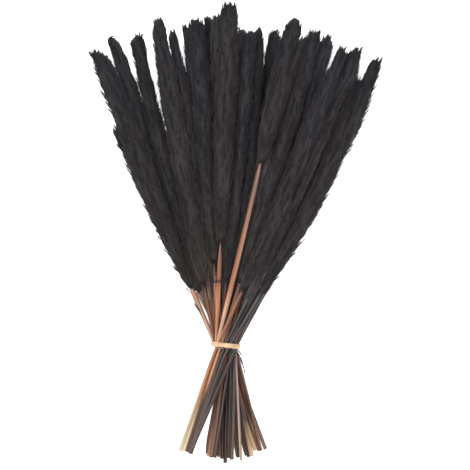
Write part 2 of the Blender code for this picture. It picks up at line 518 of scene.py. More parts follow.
HAIR_FINISHES = {
    HairDye.UMBER: HairFinish(dye(33, 30, 30), dye(46, 42, 42), dye(60, 55, 55), dye(86, 80, 77)),
    HairDye.BROWN: HairFinish(dye(30, 28, 29), dye(42, 39, 40), dye(56, 53, 54), dye(79, 73, 73)),
    HairDye.BLACK: HairFinish(dye(26, 25, 27), dye(37, 35, 37), dye(50, 47, 49), dye(70, 66, 68)),
}
CANE_FINISHES = {
    CaneDye.APRICOT: CaneFinish(
        dye(238, 222, 186), dye(236, 180, 140), dye(255, 232, 196), dye(214, 156, 120), dye(120, 97, 86),
        dye(186, 124, 90),
    ),
    CaneDye.STRAW: CaneFinish(
        dye(238, 222, 186), dye(234, 178, 138), dye(196, 140, 108), dye(112, 76, 60), dye(80, 58, 52),
        dye(120, 74, 54),
    ),
    CaneDye.AMBER: CaneFinish(
        dye(196, 150, 110), dye(104, 66, 50), dye(236, 180, 144), dye(196, 132, 100), dye(112, 86, 76),
        dye(150, 88, 64), 0.094,
    ),
    CaneDye.ROSE: CaneFinish(
        dye(150, 118, 96), dye(96, 64, 52), dye(190, 128, 100), dye(170, 120, 98), dye(118, 88, 78),
        dye(130, 80, 62), 0.078,
    ),
    CaneDye.MAUVE: CaneFinish(
        dye(80, 58, 43), dye(210, 152, 114), dye(190, 130, 98), dye(104, 74, 62), dye(90, 68, 64),
        dye(96, 64, 54),
    ),
    CaneDye.BLUSH: CaneFinish(
        dye(206, 182, 162), dye(180, 156, 142), dye(160, 130, 114), dye(130, 98, 84), dye(110, 84, 74),
        dye(150, 118, 104),
    ),
    CaneDye.RUST: CaneFinish(
        dye(156, 118, 90), dye(104, 68, 51), dye(112, 76, 58), dye(100, 70, 56), dye(74, 54, 48),
        dye(74, 46, 37),
    ),
    CaneDye.TAN: CaneFinish(
        dye(220, 188, 148), dye(78, 59, 49), dye(98, 70, 56), dye(100, 78, 66), dye(58, 48, 46),
        dye(56, 40, 35),
    ),
    CaneDye.OLIVE: CaneFinish(
        dye(150, 124, 86), dye(84, 60, 48), dye(112, 80, 62), dye(104, 84, 70), dye(62, 54, 50),
        dye(58, 41, 35),
    ),
    CaneDye.BARK: CaneFinish(
        dye(116, 90, 64), dye(86, 57, 45), dye(118, 76, 59), dye(98, 70, 57), dye(60, 46, 42),
        dye(46, 31, 27),
    ),
    CaneDye.CORK: CaneFinish(
        dye(150, 120, 104), dye(96, 64, 52), dye(198, 158, 134), dye(172, 138, 116), dye(84, 70, 64),
        dye(86, 58, 48),
    ),
    CaneDye.SEPIA: CaneFinish(
        dye(84, 67, 58), dye(66, 50, 43), dye(84, 60, 50), dye(74, 58, 51), dye(52, 44, 42), dye(46, 34, 30),
    ),
    CaneDye.SLATE: CaneFinish(
        dye(76, 58, 46), dye(64, 49, 41), dye(46, 41, 40), dye(46, 43, 44), dye(38, 36, 38), dye(84, 76, 76),
    ),
    CaneDye.BLACK: CaneFinish(
        dye(70, 53, 45), dye(44, 34, 30), dye(42, 33, 30), dye(44, 38, 37), dye(38, 34, 35), dye(72, 60, 56),
    ),
}


class Envelope:
    """The room that a solid gives: its middle line, and how far it reaches all round that line."""

    def __init__(self, node: str, stations: int = 44, rays: int = 24, margin: float = 0.0004) -> None:
        """Cuts the solid across, station by station.

        Args:
            node: The CAD node's name.
            stations: How many cuts there are from its foot to its tip.
            rays: In how many directions the reach is read at each cut.
            margin: How far inside its ends the first and the last cut are.
        """
        solid = bpy.data.objects[node]
        corners = np.array([vertex.co for vertex in solid.data.vertices], float)
        faces = np.array([face.vertices[:] for face in solid.data.polygons])
        edges = corners[np.concatenate((faces[:, (0, 1)], faces[:, (1, 2)], faces[:, (2, 0)]))]
        low, high = corners[:, 1].min(), corners[:, 1].max()
        self.angles = np.linspace(0.0, math.tau, rays, endpoint=False)
        self.shares = np.linspace(0.0, 1.0, stations)
        self.start, self.length = low, high - low
        centres, reaches = [], []
        for along in np.linspace(low + margin, high - margin, stations):
            centre, reach = self.section(edges, along)
            centres.append((centre[0], along, centre[1]))
            reaches.append(reach)
        self.centres = self.eased(np.array(centres), 2)
        self.reach = self.eased(np.array(reaches), 2)

    def section(self, edges: np.ndarray, along: float) -> tuple[np.ndarray, np.ndarray]:
        """The solid's outline at one cut.

        Args:
            edges: The solid's edges, each two points.
            along: Where the cut is.

        Returns:
            The outline's middle, as across and height, and its reach at each angle.
        """
        sides = edges[:, :, 1] - along
        cut = edges[sides[:, 0] * sides[:, 1] < 0]
        share = ((along - cut[:, 0, 1]) / (cut[:, 1, 1] - cut[:, 0, 1]))[:, None]
        points = (cut[:, 0] * (1 - share) + cut[:, 1] * share)[:, (0, 2)]
        centre = (points.min(axis=0) + points.max(axis=0)) / 2
        offsets = points - centre
        order = np.argsort(np.arctan2(offsets[:, 1], offsets[:, 0]))
        offsets = offsets[order]
        turned = np.arctan2(offsets[:, 1], offsets[:, 0])
        return centre, np.interp(self.angles, turned, np.hypot(*offsets.T), period=math.tau)

    @staticmethod
    def eased(rows: np.ndarray, times: int) -> np.ndarray:
        """Evens out neighbouring rows, with the first and last one kept.

        Args:
            rows: The rows.
            times: How often they are evened out.

        Returns:
            The evened rows.
        """
        for _ in range(times):
            inner = (rows[:-2] + 2 * rows[1:-1] + rows[2:]) / 4
            rows = np.concatenate((rows[:1], inner, rows[-1:]))
        return rows

    def middle(self, share: np.ndarray) -> np.ndarray:
        """The middle line, carried on straight past its ends.

        Args:
            share: Shares of the length, 0 at the foot and 1 at the tip.

        Returns:
            A point for each share.
        """
        points = np.stack([np.interp(share, self.shares, self.centres[:, axis]) for axis in range(3)], -1)
        last = (self.centres[-1] - self.centres[-4]) / (self.shares[-1] - self.shares[-4])
        first = (self.centres[3] - self.centres[0]) / (self.shares[3] - self.shares[0])
        past, short = np.maximum(share - 1.0, 0.0), np.minimum(share, 0.0)
        return points + past[..., None] * last + short[..., None] * first

    def reach_at(self, share: np.ndarray, angle: np.ndarray) -> np.ndarray:
        """The reach in any direction at any share.

        Args:
            share: Shares of the length.
            angle: Angles round the middle line.

        Returns:
            A length for each pair.
        """
        row = np.clip(share, 0.0, 1.0) * (len(self.shares) - 1)
        column = (angle % math.tau) / math.tau * len(self.angles)
        low_row = np.clip(row.astype(int), 0, len(self.shares) - 2)
        low_column = column.astype(int) % len(self.angles)
        next_column = (low_column + 1) % len(self.angles)
        up, over = row - low_row, column - np.floor(column)
        near = self.reach[low_row, low_column] * (1 - over) + self.reach[low_row, next_column] * over
        far = self.reach[low_row + 1, low_column] * (1 - over) + self.reach[low_row + 1, next_column] * over
        return near * (1 - up) + far * up


class HairPile:
    """The points and triangles of hairs, gathered lock by lock, each corner with its tone and its own
    place on the map. A hair is thickest in its middle and a little wider than high, and it fills most
    of its cell on the map."""

    SWELL = (0.75, 1.0, 0.80)
    WIDE, HIGH = 1.25, 0.8
    FILL = 0.96

    def __init__(self, hairs: int) -> None:
        """Starts the pile empty.

        Args:
            hairs: How many hairs will lie on it, which sets the size of each one's cell on the map.
        """
        self.points: list[np.ndarray] = []
        self.tones: list[np.ndarray] = []
        self.faces: list[np.ndarray] = []
        self.maps: list[np.ndarray] = []
        self.count = 0
        self.cells = 0
        self.grid = math.ceil(math.sqrt(hairs))

    def lay(self, points: np.ndarray, tones: np.ndarray, faces: np.ndarray, maps: np.ndarray) -> None:
        """Adds a mesh to the pile.

        Args:
            points: Its points.
            tones: A tone for each point.
            faces: Triangles, as numbers of its own points.
            maps: For each triangle, the map places of its three corners.
        """
        self.points.append(points)
        self.tones.append(tones)
        self.faces.append(faces + self.count)
        self.maps.append(maps)
        self.count += len(points)

    def strands(self, knots: np.ndarray, outward: np.ndarray, radius: np.ndarray, tones: np.ndarray) -> None:
        """Adds closed three-sided hairs that end in a point.

        Args:
            knots: Three or more points for each hair, from its root to its end.
            outward: The direction away from the plume, for each hair.
            radius: The greatest radius of each hair.
            tones: A tone for each knot.
        """
        knots = np.concatenate((knots[..., :2], np.maximum(knots[..., 2:], PRESSED)), -1)
        count, knot_count = knots.shape[:2]
        rings = knot_count - 1
        swell = np.interp(np.linspace(0.0, 1.0, rings), (0.0, 0.5, 1.0), self.SWELL)
        runs = np.gradient(knots, axis=1)[:, :rings]
        runs /= np.linalg.norm(runs, axis=2, keepdims=True)
        across = np.cross(runs, outward[:, None])
        across /= np.maximum(np.linalg.norm(across, axis=2, keepdims=True), 1e-9)
        up = np.cross(across, runs)
        turns = np.array((0.5, 1.1667, 1.8333)) * math.pi
        girth = radius[:, None, None, None] * swell[None, :, None, None]
        corners = knots[:, :rings, None] + girth * (
            across[:, :, None] * np.cos(turns)[None, None, :, None] * self.WIDE
            + up[:, :, None] * np.sin(turns)[None, None, :, None] * self.HIGH
        )
        points = np.concatenate((corners.reshape(count, rings * 3, 3), knots[:, rings:]), axis=1)
        point_tones = np.concatenate((np.repeat(tones[:, :rings], 3, axis=1), tones[:, rings:]), axis=1)
        pattern, spots = self.pattern(rings)
        faces = pattern[None] + (rings * 3 + 1) * np.arange(count)[:, None, None]
        cells = self.cells + np.arange(count)
        self.cells += count
        corner = np.stack((cells % self.grid, cells // self.grid * HAIR_MAP), -1)[:, None, None] / self.grid
        maps = corner + spots[None] * np.array((self.FILL, self.FILL * HAIR_MAP)) / self.grid
        self.lay(points.reshape(-1, 3), point_tones.ravel(), faces.reshape(-1, 3), maps.reshape(-1, 3, 2))

    @staticmethod
    def pattern(rings: int) -> tuple[np.ndarray, np.ndarray]:
        """The triangles of one hair.

        Args:
            rings: How many rings of three points come before its end.

        Returns:
            Its triangles, and the places of their corners in its cell of the map.
        """
        faces, spots = [(0, 2, 1)], [((0.02, 0.90), (0.50, 0.98), (0.02, 0.98))]
        heights = np.linspace(0.0, 0.88, rings + 1)
        for ring in range(rings - 1):
            for side in range(3):
                low, low_next = ring * 3 + side, ring * 3 + (side + 1) % 3
                left, right = side / 3, (side + 1) / 3 - 0.02
                bottom, top = heights[ring], heights[ring + 1]
                faces += [(low, low_next, low_next + 3), (low, low_next + 3, low + 3)]
                spots += [
                    ((left, bottom), (right, bottom), (right, top)),
                    ((left, bottom), (right, top), (left, top)),
                ]
        last = (rings - 1) * 3
        for side in range(3):
            left, right = side / 3, (side + 1) / 3 - 0.02
            faces.append((last + side, last + (side + 1) % 3, last + 3))
            spots.append(((left, heights[-2]), (right, heights[-2]), ((left + right) / 2, heights[-1])))
        return np.array(faces), np.array(spots)

    def object(self, name: str, material: bpy.types.Material) -> bpy.types.Object:
        """Makes the pile into one object.

        Args:
            name: The object's name.
            material: Its material.

        Returns:
            The new object.
        """
        points, faces = np.concatenate(self.points), np.concatenate(self.faces)
        mesh = bpy.data.meshes.new(name)
        mesh.vertices.add(len(points))
        mesh.vertices.foreach_set("co", points.astype(np.float32).ravel())
        mesh.loops.add(faces.size)
        mesh.loops.foreach_set("vertex_index", faces.astype(np.int32).ravel())
        mesh.polygons.add(len(faces))
        mesh.polygons.foreach_set("loop_start", np.arange(0, faces.size, 3, dtype=np.int32))
        mesh.update(calc_edges=True)
        mesh.shade_smooth()
        carry(mesh, TONE, np.concatenate(self.tones))
        bake = mesh.uv_layers.new(name=BAKE_MAP)
        bake.data.foreach_set("uv", np.concatenate(self.maps).astype(np.float32).ravel())
        mesh.materials.append(material)
        piece = bpy.data.objects.new(name, mesh)
        bpy.context.scene.collection.objects.link(piece)
        return piece


class Streaks:
    """Soft streaks along a plume, the same for its core and for its hair."""

    def __init__(self, chance: np.random.Generator, cells: float, columns: int) -> None:
        """Draws the streaks.

        Args:
            chance: The plume's own chance.
            cells: How many streaks follow each other along the plume.
            columns: How many lie side by side round it.
        """
        self.grid = chance.uniform(-1.0, 1.0, (int(cells) + 3, columns))
        self.cells = cells

    def at(self, share: np.ndarray, angle: np.ndarray) -> np.ndarray:
        """The streaks' lightness.

        Args:
            share: Shares of the plume's length.
            angle: Angles round it.

        Returns:
            A value from -1 to 1 for each pair.
        """
        rows, columns = self.grid.shape
        row = np.clip(share, 0.0, 1.0) * self.cells
        column = (angle % math.tau) / math.tau * columns
        low_row, low_column = row.astype(int), column.astype(int) % columns
        up, over = smooth(row - low_row), smooth(column - np.floor(column))
        next_column = (low_column + 1) % columns
        next_row = np.minimum(low_row + 1, rows - 1)
        near = self.grid[low_row, low_column] * (1 - over) + self.grid[low_row, next_column] * over
        far = self.grid[next_row, low_column] * (1 - over) + self.grid[next_row, next_column] * over
        return near * (1 - up) + far * up


@dataclass(frozen=True)
class Coat:
    """One layer of a plume's hair: the skin for each hair, the hairs and the knots of a clump, their
    size, how deep they root, how far their ends stand off, how wide a clump is, how much its ends
    draw together and lean, and from how far round the plume's sides it grows, 1 being all round.

    The rest says how much the hairs of a clump differ from each other in length, thickness, place,
    lean and tone, how much paler a hair is at its end than at its root, how far hair may pass the
    tip's edge, and how far the shortest stays behind that, both as shares of the plume's length."""

    area: float
    clump: int
    knots: int
    length: tuple[float, float]
    radius: float
    root: float
    stand: tuple[float, float]
    spread: float
    gather: float
    lean: float
    sides: float = 1.0
    lengths: tuple[float, float] = (0.8, 1.15)
    girths: tuple[float, float] = (0.75, 1.25)
    shift: float = 0.18
    leans: float = 0.04
    tones: float = 0.05
    paler: float = 0.14
    over: float = 0.004
    behind: float = 0.014


# Long locks that lie along the plume, the short nap that stands off it, and the loose fluff of its
# sides, which closes the gap to the next plume.
LOCKS = Coat(24.8e-6, 9, 4, (0.014, 0.027), 0.00028, 0.86, (-0.0002, 0.0006), 0.0011, 0.40, 0.05)
NAP = Coat(12.2e-6, 5, 3, (0.0045, 0.0090), 0.00025, 0.84, (0.0, 0.0030), 0.0013, 0.70, 0.16)
FLUFF = Coat(39e-6, 4, 4, (0.012, 0.024), 0.00024, 0.88, (0.0003, 0.0042), 0.0016, 0.25, 0.08, 0.55)
COATS = (LOCKS, NAP, FLUFF)


@dataclass(frozen=True)
class Barbs:
    """The small pointed locks that make a plume's outline jagged: how far apart they stand, the hairs
    in each, their length, and how far their points reach past the outline, on a side that faces
    another plume and on the bunch's own edge. The root is the share of the reach where they start, and
    they lie a little round the side, are so wide there, and shrink over the last share of the plume."""

    spacing: float = 0.0052
    hairs: int = 6
    length: tuple[float, float] = (0.005, 0.010)
    inner: tuple[float, float] = (0.0002, 0.0012)
    outer: tuple[float, float] = (0.0006, 0.0040)
    root: float = 0.90
    round_side: float = 0.32
    width: float = 0.0009
    shrink: float = 0.08


@dataclass(frozen=True)
class Crown:
    """The hair that fills a plume's blunt tip: its locks, the hairs in each, their length, how far past
    the tip's edge a lock ends, and how far hairs and whole locks stray from their line."""

    locks: int = 26
    hairs: int = 6
    length: tuple[float, float] = (0.010, 0.019)
    past: tuple[float, float] = (-0.0045, 0.0028)
    stray: float = 0.0010
    lean: float = 0.0008


@dataclass(frozen=True)
class Foot:
    """The hair that runs down round the cane: how many hairs, their length, and how far up into the
    plume the first ones start, as a share of how far down the last ones do."""

    hairs: int = 150
    length: tuple[float, float] = (0.014, 0.028)
    above: float = 0.3


@dataclass(frozen=True)
class Core:
    """The spindle inside a plume: the share of the reach that it fills and that its streaks stand up,
    its rings and the sides of each, how far it runs down beside the foot's hair and up to the tip,
    how wide its two ends are, over which share of the length they round off, and how much darker than
    the hair it is."""

    share: float = 0.88
    relief: float = 0.05
    rings: int = 54
    sides: int = 24
    down: float = 0.6
    up: float = 0.99
    ends: tuple[float, float] = (0.45, 0.25)
    rounding: float = 0.02
    darker: float = 0.04


@dataclass(frozen=True)
class Shading:
    """How the tone changes over a plume: its middle value, how much the sides and the very edge are
    paler, and the cell's length, the columns and the strength of the broad and narrow streaks. The paler
    sides and edge are painted light: they lift the shade in the seams between plumes and stand in for
    the light that the hair at the edge catches."""

    middle: float = 0.37
    side: float = 0.14
    edge: float = 0.30
    broad_cell: float = 0.055
    broad_columns: int = 9
    broad: float = 0.15
    narrow_cell: float = 0.032
    narrow_columns: int = 23
    narrow: float = 0.12


BARBS = Barbs()
CROWN = Crown()
FOOT = Foot()
CORE = Core()
SHADING = Shading()


@dataclass(frozen=True)
class Tuft:
    """A lock that leaves the plume's outline. Its path is in millimetres from the tie, as (across,
    along), radius is its thickness in millimetres where it starts, and taper the share of that which
    it loses up to its end."""

    path: tuple[tuple[float, float], ...]
    radius: float
    hairs: int
    taper: float = 0.80


@dataclass(frozen=True)
class Swell:
    """A place where a plume is fuller on one side, or thinner where the amount is below zero: the side
    (1 for the right), the amount in millimetres, and where it is and how far it reaches in shares of
    the length."""

    side: int
    amount: float
    place: float
    spread: float = 0.10


@dataclass(frozen=True)
class PlumeLook:
    """How one plume differs from the others: its dye, how light it is, which is partly its own tone and
    partly painted light that lifts the shade on plumes lying under others, how much lighter at its foot
    than at its tip, how far hair runs down its cane and how full it is there, how blunt its tip is, how
    far the tip's sides stay behind its middle and its right side behind its left, on which side of the
    bunch it is the outermost one, where it is fuller or thinner, how far the hair of its tip stays
    behind its tufts, and the tufts. Lengths are in millimetres."""

    number: int
    dye: HairDye
    # Partly the plume's own tone, and partly painted light that lifts the shade where it lies under other
    # plumes.
    tone_and_painted_lift: float = 0.0
    fade: float = 0.26
    foot: float = 24.0
    skirt: float = 2.6
    brush: float = 0.25
    dome: float = 5.0
    slant: float = 0.0
    outer: int = 0
    swells: tuple[Swell, ...] = ()
    crown: float = 0.0
    tufts: tuple[Tuft, ...] = ()


@dataclass
class Plume:
    """The hair of one plume, grown on a core that follows the solid it replaces. From the brush's
    start, and fully after its run, a blunt tip is filled out. The skirt is fuller up to its end, hair
    reaches the least length at any place, and the tip is rounded over the last share. The seed and
    the plume's number start its chance."""

    look: PlumeLook
    seed: int = 7100
    brush_start: float = 0.86
    brush_run: float = 0.07
    skirt_end: float = 0.22
    least: float = 0.0012
    rounding: float = 0.03

    def __post_init__(self) -> None:
        """Reads the solid, and measures how the plume's skin is spread over its length."""
        self.node = f"plume_{self.look.number:02d}"
        self.chance = np.random.default_rng(self.seed + self.look.number)
        self.envelope = Envelope(self.node)
        self.length = self.envelope.length
        self.fine = np.linspace(0.0, 1.0, 240)
        girth = self.envelope.reach.mean(axis=1)
        girth = np.interp(self.fine, self.envelope.shares, girth) * math.tau
        steps = (girth[1:] + girth[:-1]) / 2 * self.length / (len(self.fine) - 1)
        self.skin = np.concatenate(([0.0], np.cumsum(steps)))
        self.broad = Streaks(self.chance, self.length / SHADING.broad_cell, SHADING.broad_columns)
        self.narrow = Streaks(self.chance, self.length / SHADING.narrow_cell, SHADING.narrow_columns)

    def reach(self, share: np.ndarray, angle: np.ndarray) -> np.ndarray:
        """The hair's reach: the solid's, with the tip filled out as a brush where it is blunt.

        Args:
            share: Shares of the length, which may pass 1.
            angle: Angles round the middle line.

        Returns:
            A length for each pair.
        """
        solid = self.envelope.reach_at(share, angle)
        full = self.envelope.reach_at(np.minimum(share, self.brush_start), angle)
        blunt = np.clip((share - self.brush_start) / self.brush_run, 0.0, 1.0)
        filled = solid + (full - solid) * self.look.brush * blunt
        for swell in self.look.swells:
            side = np.clip(np.cos(angle) * swell.side, 0.0, 1.0)
            along = np.exp(-(((share - swell.place) / swell.spread) ** 2))
            filled = filled + swell.amount / 1000 * side * along
        filled = np.maximum(filled, self.least)
        near = np.clip((self.skirt_end - share) / self.skirt_end, 0.0, 1.0) ** 1.5
        near = near * np.clip(1 + share * self.length / (self.look.foot / 1000), 0.0, 1.0)
        ending = np.clip((1.0 + self.rounding - share) / self.rounding, 0.0, 1.0) ** 0.5
        return (filled + near * self.look.skirt / 1000) * ending

    def surface(
        self, share: np.ndarray, angle: np.ndarray, out: np.ndarray | float, beyond: np.ndarray | float = 0.0
    ) -> np.ndarray:
        """Points round the middle line.

        Args:
            share: Shares of the length.
            angle: Angles round the middle line.
            out: Shares of the reach.
            beyond: Lengths added to it.

        Returns:
            A point for each.
        """
        distance = self.reach(share, angle) * out + beyond
        return self.envelope.middle(share) + outwards(angle) * distance[..., None]

    def limit(self, angle: np.ndarray, depth: np.ndarray | float = 1.0) -> np.ndarray:
        """Where the tip's hair ends, as a share of the length.

        Args:
            angle: Angles round the middle line.
            depth: How far from the middle line the hair is, 1 being at the skin.

        Returns:
            A share for each.
        """
        aside = np.cos(angle) * depth
        back = self.look.crown + self.look.dome * np.abs(aside) ** 2.6 + self.look.slant * (1 + aside)
        return 1.0 - back / 1000 / self.length

    def tone(self, share: np.ndarray, angle: np.ndarray) -> np.ndarray:
        """How light the plume is at a place on its skin, with painted light on its sides and very edge.

        Args:
            share: Shares of the length.
            angle: Angles round the middle line.

        Returns:
            A tone from about 0 to 1 for each pair.
        """
        streaks = SHADING.broad * self.broad.at(share, angle) + SHADING.narrow * self.narrow.at(share, angle)
        aside = np.cos(angle)
        # The plume's lightness holds painted light that lifts the shade on plumes lying under others.
        faded = self.look.tone_and_painted_lift + self.look.fade * (0.5 - share)
        # The paler sides and very edge are painted light: they lift the shade in the seams between plumes and
        # stand in for the light caught by the hair at the edge.
        return SHADING.middle + faded + streaks + SHADING.side * aside**2 + SHADING.edge * aside**6

    def core(self, pile: HairPile) -> None:
        """Lays the core: a closed, streaky spindle that fills the plume below its hair.

        Args:
            pile: The pile that it goes on.
        """
        rings, sides = CORE.rings, CORE.sides
        start = -CORE.down * self.look.foot / 1000 / self.length
        shares = np.linspace(start, CORE.up, rings)
        angles = np.linspace(0.0, math.tau, sides, endpoint=False)
        share, angle = np.meshgrid(shares, angles, indexing="ij")
        from_foot, to_tip = (share - start) / CORE.rounding, (CORE.up - share) / CORE.rounding
        ends = np.clip(np.minimum(from_foot + CORE.ends[0], to_tip + CORE.ends[1]), 0.0, 1.0)
        out = CORE.share * (1 + CORE.relief * self.narrow.at(share, angle)) * ends
        caps = self.envelope.middle(np.array((start - 0.001, CORE.up + 0.002)))
        points = np.concatenate((self.surface(share, angle, out).reshape(-1, 3), caps))
        tones = np.append((self.tone(share, angle) - CORE.darker).ravel(), (0.2, 0.3))
        rows = np.linspace(CORE_MAP[0], CORE_MAP[1], rings + 1)
        faces, maps = [], []
        for ring in range(rings - 1):
            for side in range(sides):
                next_side = (side + 1) % sides
                low, low_next = ring * sides + side, ring * sides + next_side
                high, high_next = low + sides, low_next + sides
                left, right = side / sides, (side + 1) / sides
                bottom, top = rows[ring], rows[ring + 1]
                faces += [(low, high, high_next), (low, high_next, low_next)]
                maps += [
                    ((left, bottom), (left, top), (right, top)),
                    ((left, bottom), (right, top), (right, bottom)),
                ]
        foot, tip = len(points) - 2, len(points) - 1
        last = (rings - 1) * sides
        for side in range(sides):
            next_side = (side + 1) % sides
            left, right, middle = side / sides, (side + 1) / sides, (side + 0.5) / sides
            faces += [(foot, side, next_side), (tip, last + next_side, last + side)]
            maps += [
                ((middle, FOOT_MAP[0]), (left, FOOT_MAP[1]), (right, FOOT_MAP[1])),
                ((middle, TIP_MAP[1]), (right, TIP_MAP[0]), (left, TIP_MAP[0])),
            ]
        pile.lay(points, tones, np.array(faces), np.array(maps))

    def near(self, share: np.ndarray, angle: np.ndarray) -> np.ndarray:
        """The reach that turns lengths into angles, kept wide enough where the plume is thin."""
        return np.maximum(self.reach(np.clip(share, 0.04, 0.96), angle), 0.003)

    def clumps(self, coat: Coat) -> int:
        """How many clumps a coat has on this plume."""
        return int(self.skin[-1] * coat.sides / (coat.area * coat.clump))

    def grow(self, pile: HairPile, coat: Coat) -> None:
        """Grows a coat of hair in clumps that lie up the plume, with their ends standing off it.

        Args:
            pile: The pile that it goes on.
            coat: The coat.
        """
        clumps = self.clumps(coat)
        each = (clumps, coat.clump)
        order = np.arange(clumps)
        # The clumps are dealt out evenly over the skin, on the sides alone where the coat has only those.
        share = np.interp((order + 0.5) / clumps, self.skin / self.skin[-1], self.fine)
        turn = (order * GOLDEN_TURN % 1.0) + self.chance.normal(0.0, 0.02, clumps)
        side = np.floor(turn * 2) % 2
        angle = (side + 0.5 + (turn * 2 % 1.0 - 0.5) * coat.sides) * math.pi - math.pi / 2
        near = self.near(share, angle)
        steps = np.linspace(0.0, 1.0, coat.knots)
        length = self.chance.uniform(*coat.length, clumps)[:, None]
        length = length * self.chance.uniform(*coat.lengths, each)
        forward = self.chance.normal(0.0, coat.shift, each)
        shares = share[:, None, None] + (forward[..., None] + steps - 0.5) * length[..., None] / self.length
        # No hair runs far past the tip's edge, or down past the foot.
        short = self.chance.uniform(0.0, 1.0, each) ** 2
        limit = self.limit(angle)[:, None] + coat.over - coat.behind * short
        shares -= np.maximum(shares[..., -1:] - limit[..., None], 0.0)
        shares = np.maximum(shares, -0.02 + 0.02 * steps)
        # A clump's ends draw together, and all of them lean to one side.
        sideways = self.chance.normal(0.0, coat.spread, each)[..., None] * (1 - coat.gather * steps)
        lean = self.chance.normal(0.0, coat.lean, clumps)[:, None]
        lean = lean + self.chance.normal(0.0, coat.leans, each)
        sideways = sideways + (lean * length)[..., None] * steps
        angles = angle[:, None, None] + sideways / near[:, None, None]
        # The ends stand off, but less on the bunch's own edge and towards the tip.
        low, high = coat.stand
        stand = low + (high - low) * self.chance.uniform(0.0, 1.0, clumps) ** 2
        stand *= np.where(self.look.outer * np.cos(angle) > 0.2, 0.6, 1.0)
        stand = stand[:, None] + self.chance.normal(0.0, 0.0002, each)
        stand *= np.clip((1.0 - share) / 0.10, 0.2, 1.0)[:, None]
        out = coat.root + (1 - coat.root) * steps**1.2
        knots = self.surface(shares, angles, out, stand[..., None] * steps**2).reshape(-1, coat.knots, 3)
        radius = coat.radius * self.chance.uniform(*coat.girths, clumps * coat.clump)
        own = self.chance.normal(0.0, coat.tones, clumps)[:, None]
        own = own + self.chance.normal(0.0, coat.tones, each)
        tones = self.tone(share, angle)[:, None, None] + own[..., None] + coat.paler * (steps - 0.55)
        pile.strands(knots, outwards(angles[..., 1]).reshape(-1, 3), radius, tones.reshape(-1, coat.knots))

    def grow_crown(self, pile: HairPile) -> None:
        """Grows the hair that fills the plume's blunt tip, in small locks that end in points.

        Args:
            pile: The pile that it goes on.
        """
        each = (CROWN.locks, CROWN.hairs)
        angle = self.chance.uniform(0.0, math.tau, CROWN.locks)[:, None]
        depth = np.sqrt(self.chance.uniform(0.0, 1.0, CROWN.locks))[:, None]
        past = self.chance.uniform(*CROWN.past, CROWN.locks)[:, None]
        end = self.limit(angle, depth) + (past + self.chance.normal(0.0, 0.0004, each)) / self.length
        start = end - self.chance.uniform(*CROWN.length, each) / self.length
        shares = start[..., None] + (end - start)[..., None] * STEPS
        wide = self.reach(np.full_like(angle, 0.93), angle) * depth
        away = outwards(angle)
        fan = (wide * 0.80)[..., None] + (0.22 * wide + 0.0004)[..., None] * STEPS
        stray = self.chance.normal(0.0, CROWN.stray, (*each, 3))[:, :, None] * (1 - 0.85 * STEPS)[:, None]
        lean = self.chance.normal(0.0, CROWN.lean, (CROWN.locks, 1, 1, 3)) * (STEPS**2)[:, None]
        knots = self.envelope.middle(shares) + away[:, :, None] * fan[..., None] + stray + lean
        tones = self.tone(np.full_like(angle, 0.97), angle) + self.chance.normal(0.0, 0.06, each)
        tones = tones[..., None] + 0.10 * (STEPS - 0.6)
        radius = LOCKS.radius * self.chance.uniform(0.8, 1.3, CROWN.locks * CROWN.hairs)
        outward = np.broadcast_to(away, (*each, 3)).reshape(-1, 3)
        pile.strands(knots.reshape(-1, KNOTS, 3), outward, radius, tones.reshape(-1, KNOTS))

    def barb_count(self) -> int:
        """How many barbs stand on each side of the plume."""
        return int(self.length / BARBS.spacing)

    def grow_barbs(self, pile: HairPile) -> None:
        """Grows the small pointed locks along both sides of the plume.

        Args:
            pile: The pile that it goes on.
        """
        count = self.barb_count()
        each = (count, BARBS.hairs)
        for side in (-1, 1):
            edge = BARBS.outer if side == self.look.outer else BARBS.inner
            share = (np.arange(count) + self.chance.uniform(0.0, 1.0, count)) / count * 0.99
            angle = (0.0 if side > 0 else math.pi) + self.chance.normal(0.0, BARBS.round_side, count)
            length = self.chance.uniform(*BARBS.length, count)[:, None] * self.chance.uniform(0.75, 1.1, each)
            past = self.chance.uniform(*edge, count)[:, None] * self.chance.uniform(0.6, 1.1, each)
            past = past * np.clip((1.02 - share) / BARBS.shrink, 0.25, 1.0)[:, None]
            end = share[:, None] + self.chance.normal(0.0, 0.0006, each) / self.length
            end = np.minimum(end, self.limit(angle)[:, None])
            shares = end[..., None] - (1 - STEPS) * length[..., None] / self.length
            wide = self.chance.normal(0.0, BARBS.width, each)[..., None] * (1 - 0.9 * STEPS)
            angles = angle[:, None, None] + wide / self.near(share, angle)[:, None, None]
            out = BARBS.root + (1 - BARBS.root) * STEPS
            knots = self.surface(shares, angles, out, past[..., None] * STEPS**1.2)
            outward = outwards(angles[..., 1]).reshape(-1, 3)
            radius = LOCKS.radius * self.chance.uniform(0.8, 1.2, count * BARBS.hairs)
            own = self.chance.normal(0.02, 0.06, each)[..., None]
            tones = self.tone(share, angle)[:, None, None] + own + 0.10 * (STEPS - 0.5)
            pile.strands(knots.reshape(-1, KNOTS, 3), outward, radius, tones.reshape(-1, KNOTS))

    def grow_foot(self, pile: HairPile) -> None:
        """Grows the hair that runs down round the cane below the plume.

        Args:
            pile: The pile that it goes on.
        """
        count = FOOT.hairs
        start = -self.chance.uniform(-FOOT.above, 1.0, count) * self.look.foot / 1000
        end = start + self.chance.uniform(*FOOT.length, count)
        shares = (start[:, None] + (end - start)[:, None] * STEPS) / self.length
        angle = self.chance.uniform(0.0, math.tau, count)
        angles = angle[:, None] + self.chance.normal(0.0, 0.25, count)[:, None] * (STEPS - 0.5)
        out = 0.70 + 0.25 * STEPS + self.chance.uniform(0.0, 0.25, count)[:, None] * STEPS
        knots = self.surface(shares, angles, out)
        radius = LOCKS.radius * self.chance.uniform(0.8, 1.3, count)
        tones = self.tone(np.zeros(count), angle)[:, None] + self.chance.normal(0.0, 0.08, count)[:, None]
        pile.strands(knots, outwards(angle), radius, tones + 0.1 * (STEPS - 0.5))

